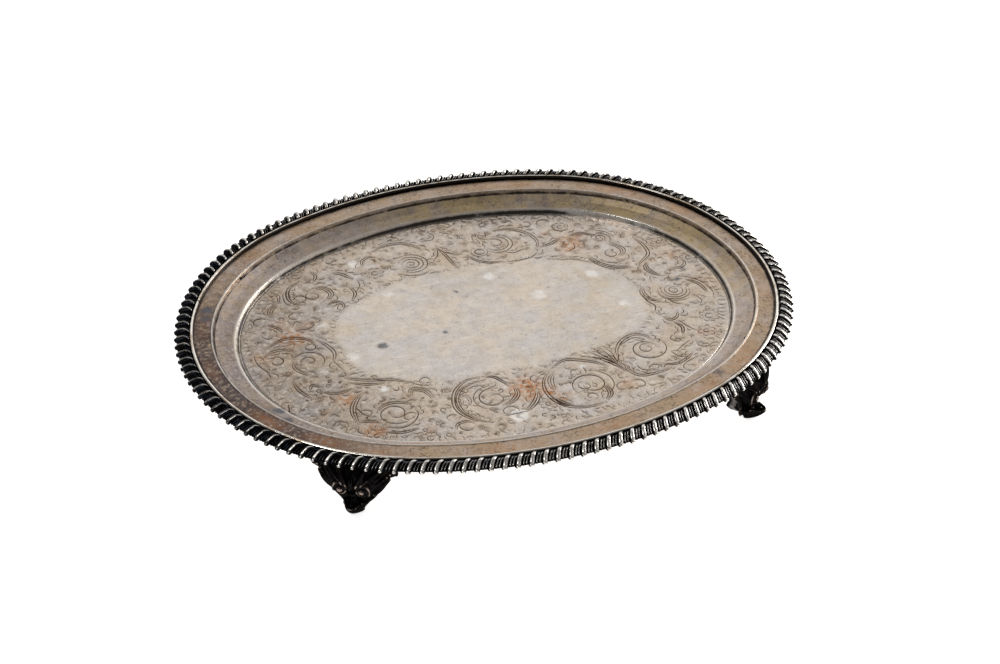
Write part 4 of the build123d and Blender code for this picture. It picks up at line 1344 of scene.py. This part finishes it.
def wire_wear_and_painted_light():
    """The fillet wire: painted bright along its crest as wear and highlight, painted dark on its sides as
    reflection, and near black at its foot as painted shade.
    """
    r = Recipe("wire_with_painted_light")
    colour = r.mix(r.patches(12, 5, 0.65, 0.4, 0.75), BRIGHT, OCHRE)
    # Painted dark reflection on the wire away from its crest, painted highlight and wear on the crest.
    wear_and_highlight = r.range(r.mark("polish_and_highlight"), 0.35, 0.8)
    colour = r.mix(wear_and_highlight, linear(52, 44, 38), colour)
    # Painted shade: near black at the wire's foot.
    colour = r.cover(colour, OXIDE_AND_SHADE_BLACK, r.mark("painted_shade"), 0.97)
    specks = r.patches(1.3, 4, 0.7, 0.6, 0.72)
    colour = r.cover(colour, UMBER, specks, 0.5)
    roughness = r.patches(4, 4, 0.6, 0.3, 0.7, 0.14, 0.28)
    r.bump(r.noise(1.4, 4, 0.6), 0.03)
    return r.finish(colour, roughness, 0.96)


EDGE_SHEEN = 0.25


def oxide_with_painted_highlights(name, rubbed_and_highlit, cast, low, high, roughness):
    """Near-black oxide, here and there of another cast, that partly stands in for dark reflections as painted
    shade, with the high places painted bright as wear and highlight.
    """
    r = Recipe(name)
    shade = r.mix(r.patches(3, 4, 0.6, 0.4, 0.7), OXIDE_AND_SHADE_BLACK, cast)
    wear_and_highlight = r.times(r.mark("polish_and_highlight"), r.patches(5, 5, 0.7, 0.2, 0.6, 0.75, 1.1), clamp=False)
    colour = r.mix(r.range(wear_and_highlight, low, high), shade, rubbed_and_highlit)
    r.bump(r.noise(0.9, 4, 0.6), 0.03)
    gloss = r.patches(4, 4, 0.6, 0.3, 0.7, roughness, roughness + 0.14)
    r.surface.inputs["Specular Tint"].default_value = (EDGE_SHEEN, EDGE_SHEEN, EDGE_SHEEN, 1)
    return r.finish(colour, gloss, 0.95)


def solder_grey():
    """Soft solder, dull and slightly blistered."""
    r = Recipe("dull_solder")
    colour = r.mix(r.patches(4, 5, 0.65, 0.35, 0.7), linear(96, 94, 92), linear(44, 40, 38))
    r.bump(r.noise(1.6, 4, 0.6), 0.12)
    return r.finish(colour, r.patches(3, 4, 0.6, 0.3, 0.7, 0.45, 0.65), 0.9)


# ---------------------------------------------------------------- stage, lights and camera
CAMERA_AZIMUTH = math.radians(21.28)
CAMERA_ELEVATION = math.radians(34.05)
CAMERA_DISTANCE = 1.1321
CAMERA_RIGHT = 0.00695
CAMERA_UP = -0.01616
LENS = 73.2
SENSOR = 36.0


def make_camera():
    """The camera, aimed near the middle of the rim's plane."""
    side, rise = CAMERA_AZIMUTH, CAMERA_ELEVATION
    forward = Vector((math.sin(side) * math.cos(rise), math.cos(side) * math.cos(rise), -math.sin(rise)))
    right = Vector((math.cos(side), -math.sin(side), 0))
    up = right.cross(forward)
    data = bpy.data.cameras.new("camera")
    data.lens = LENS
    data.sensor_width = SENSOR
    camera = bpy.data.objects.new("camera", data)
    middle = Vector((0, 0, CREST_Z * MM))
    place = middle - forward * CAMERA_DISTANCE + right * CAMERA_RIGHT + up * CAMERA_UP
    axes = Matrix((right, up, -forward)).transposed().to_4x4()
    camera.matrix_world = Matrix.Translation(place) @ axes
    bpy.context.scene.collection.objects.link(camera)
    bpy.context.scene.camera = camera


FLOOR_GLOW = 0.85


def make_floor():
    """A plain pale floor."""
    half = 6.0
    corners = [(-half, -half, 0), (half, -half, 0), (half, half, 0), (-half, half, 0)]
    mesh = bpy.data.meshes.new("floor")
    mesh.from_pydata(corners, [], [(0, 1, 2, 3)])
    floor = bpy.data.objects.new("floor", mesh)
    bpy.context.scene.collection.objects.link(floor)
    material = bpy.data.materials.new("pale_floor")
    material.use_nodes = True
    surface = material.node_tree.nodes["Principled BSDF"]
    surface.inputs["Base Color"].default_value = (0.93, 0.93, 0.93, 1)
    surface.inputs["Emission Color"].default_value = (1, 1, 1, 1)
    surface.inputs["Emission Strength"].default_value = FLOOR_GLOW
    surface.inputs["Roughness"].default_value = 0.9
    surface.inputs["Specular IOR Level"].default_value = 0.0
    mesh.materials.append(material)


def softbox(name, azimuth, elevation, distance, width, height, power):
    """A soft light that faces the tray; azimuth in degrees clockwise from +Y, seen from above."""
    side, rise = math.radians(azimuth), math.radians(elevation)
    out = Vector((math.sin(side) * math.cos(rise), math.cos(side) * math.cos(rise), math.sin(rise)))
    light = bpy.data.lights.new(name, "AREA")
    light.shape = "RECTANGLE"
    light.size = width
    light.size_y = height
    light.energy = power
    lamp = bpy.data.objects.new(name, light)
    lamp.location = out * distance
    lamp.rotation_euler = (-out).to_track_quat("-Z", "Y").to_euler()
    lamp.visible_camera = False
    bpy.context.scene.collection.objects.link(lamp)


HORIZON_LIGHT = 0.95
ZENITH_LIGHT = 0.24
BACK_SHARE = 0.35
BRIGHT_SIDE = math.radians(45)


def make_world():
    """Pale near the horizon beyond the tray and to its right, dimmer overhead and on the other sides."""
    world = bpy.data.worlds.new("studio")
    bpy.context.scene.world = world
    world.use_nodes = True
    tree = world.node_tree
    place = tree.nodes.new("ShaderNodeTexCoord").outputs["Generated"]
    split = tree.nodes.new("ShaderNodeSeparateXYZ")
    tree.links.new(place, split.inputs[0])
    facing = tree.nodes.new("ShaderNodeVectorMath")
    facing.operation = "DOT_PRODUCT"
    tree.links.new(place, facing.inputs[0])
    facing.inputs[1].default_value = (math.sin(BRIGHT_SIDE), math.cos(BRIGHT_SIDE), 0)
    height = smooth_range(tree, split.outputs["Z"], 0.05, 0.6, HORIZON_LIGHT, ZENITH_LIGHT)
    side = smooth_range(tree, facing.outputs["Value"], -0.5, 0.5, BACK_SHARE, 1.0)
    strength = tree.nodes.new("ShaderNodeMath")
    strength.operation = "MULTIPLY"
    tree.links.new(height, strength.inputs[0])
    tree.links.new(side, strength.inputs[1])
    background = tree.nodes["Background"]
    tree.links.new(strength.outputs[0], background.inputs["Strength"])
    background.inputs["Color"].default_value = (1, 1, 1, 1)


def smooth_range(tree, value, low, high, to_low, to_high):
    """A smooth step between two values, as a node in a tree."""
    node = tree.nodes.new("ShaderNodeMapRange")
    node.interpolation_type = "SMOOTHSTEP"
    tree.links.new(value, node.inputs["Value"])
    limits = {"From Min": low, "From Max": high, "To Min": to_low, "To Max": to_high}
    for name, limit in limits.items():
        node.inputs[name].default_value = limit
    return node.outputs[0]


def make_stage():
    """Camera, floor, studio light and plain colour handling."""
    make_camera()
    make_floor()
    make_world()
    softbox("far_panel", 21, 38, 2.6, 2.6, 1.6, 8.4)
    softbox("right_panel", 78, 24, 2.4, 0.9, 0.8, 24)
    softbox("left_high", -92, 60, 2.4, 0.7, 0.7, 14)
    bpy.context.scene.view_settings.view_transform = "Standard"


# ---------------------------------------------------------------- assembly
def make_salver():
    """Every visible piece, in the place of the CAD nodes that it stands for."""
    sheet = plated_sheet()
    # Border and feet: near-black oxide that partly stands in for dark reflections, with painted highlights on
    # the high places.
    border = oxide_with_painted_highlights("border_oxide_with_painted_highlights", linear(240, 234, 226), linear(38, 42, 50), 0.38, 0.85, 0.2)
    foot_metal = oxide_with_painted_highlights("feet_oxide_with_painted_highlights", linear(150, 134, 124), linear(16, 14, 13), 0.6, 1.0, 0.16)
    solder = solder_grey()
    make_rim(sheet)
    make_well(sheet)
    make_wire(wire_wear_and_painted_light())
    for length in LENGTHS:
        make_length(*length, border)
    front = sculpted_foot()
    filling = foot_layer(FRONT_DEPTH - 0.1, FRONT_DEPTH + FILL_DEPTH, 0.97)
    back = foot_layer(FRONT_DEPTH + FILL_DEPTH, FRONT_DEPTH + FILL_DEPTH + BACK_DEPTH, 1.0)
    for number, centre, turn in FEET:
        node = f"foot_{number}"
        place = (centre, turn)
        scrolls = (front, foot_metal, "foot_metal", f"{node}_front", f"{node}_toe")
        make_foot_piece(f"{node}_scrolls", *place, *scrolls)
        make_foot_piece(f"{node}_filling", *place, filling, solder, "soft_solder", f"{node}_fill")
        make_foot_piece(f"{node}_backing", *place, back, foot_metal, "foot_metal", f"{node}_back")


make_stage()
make_salver()
bpy.context.view_layer.update()
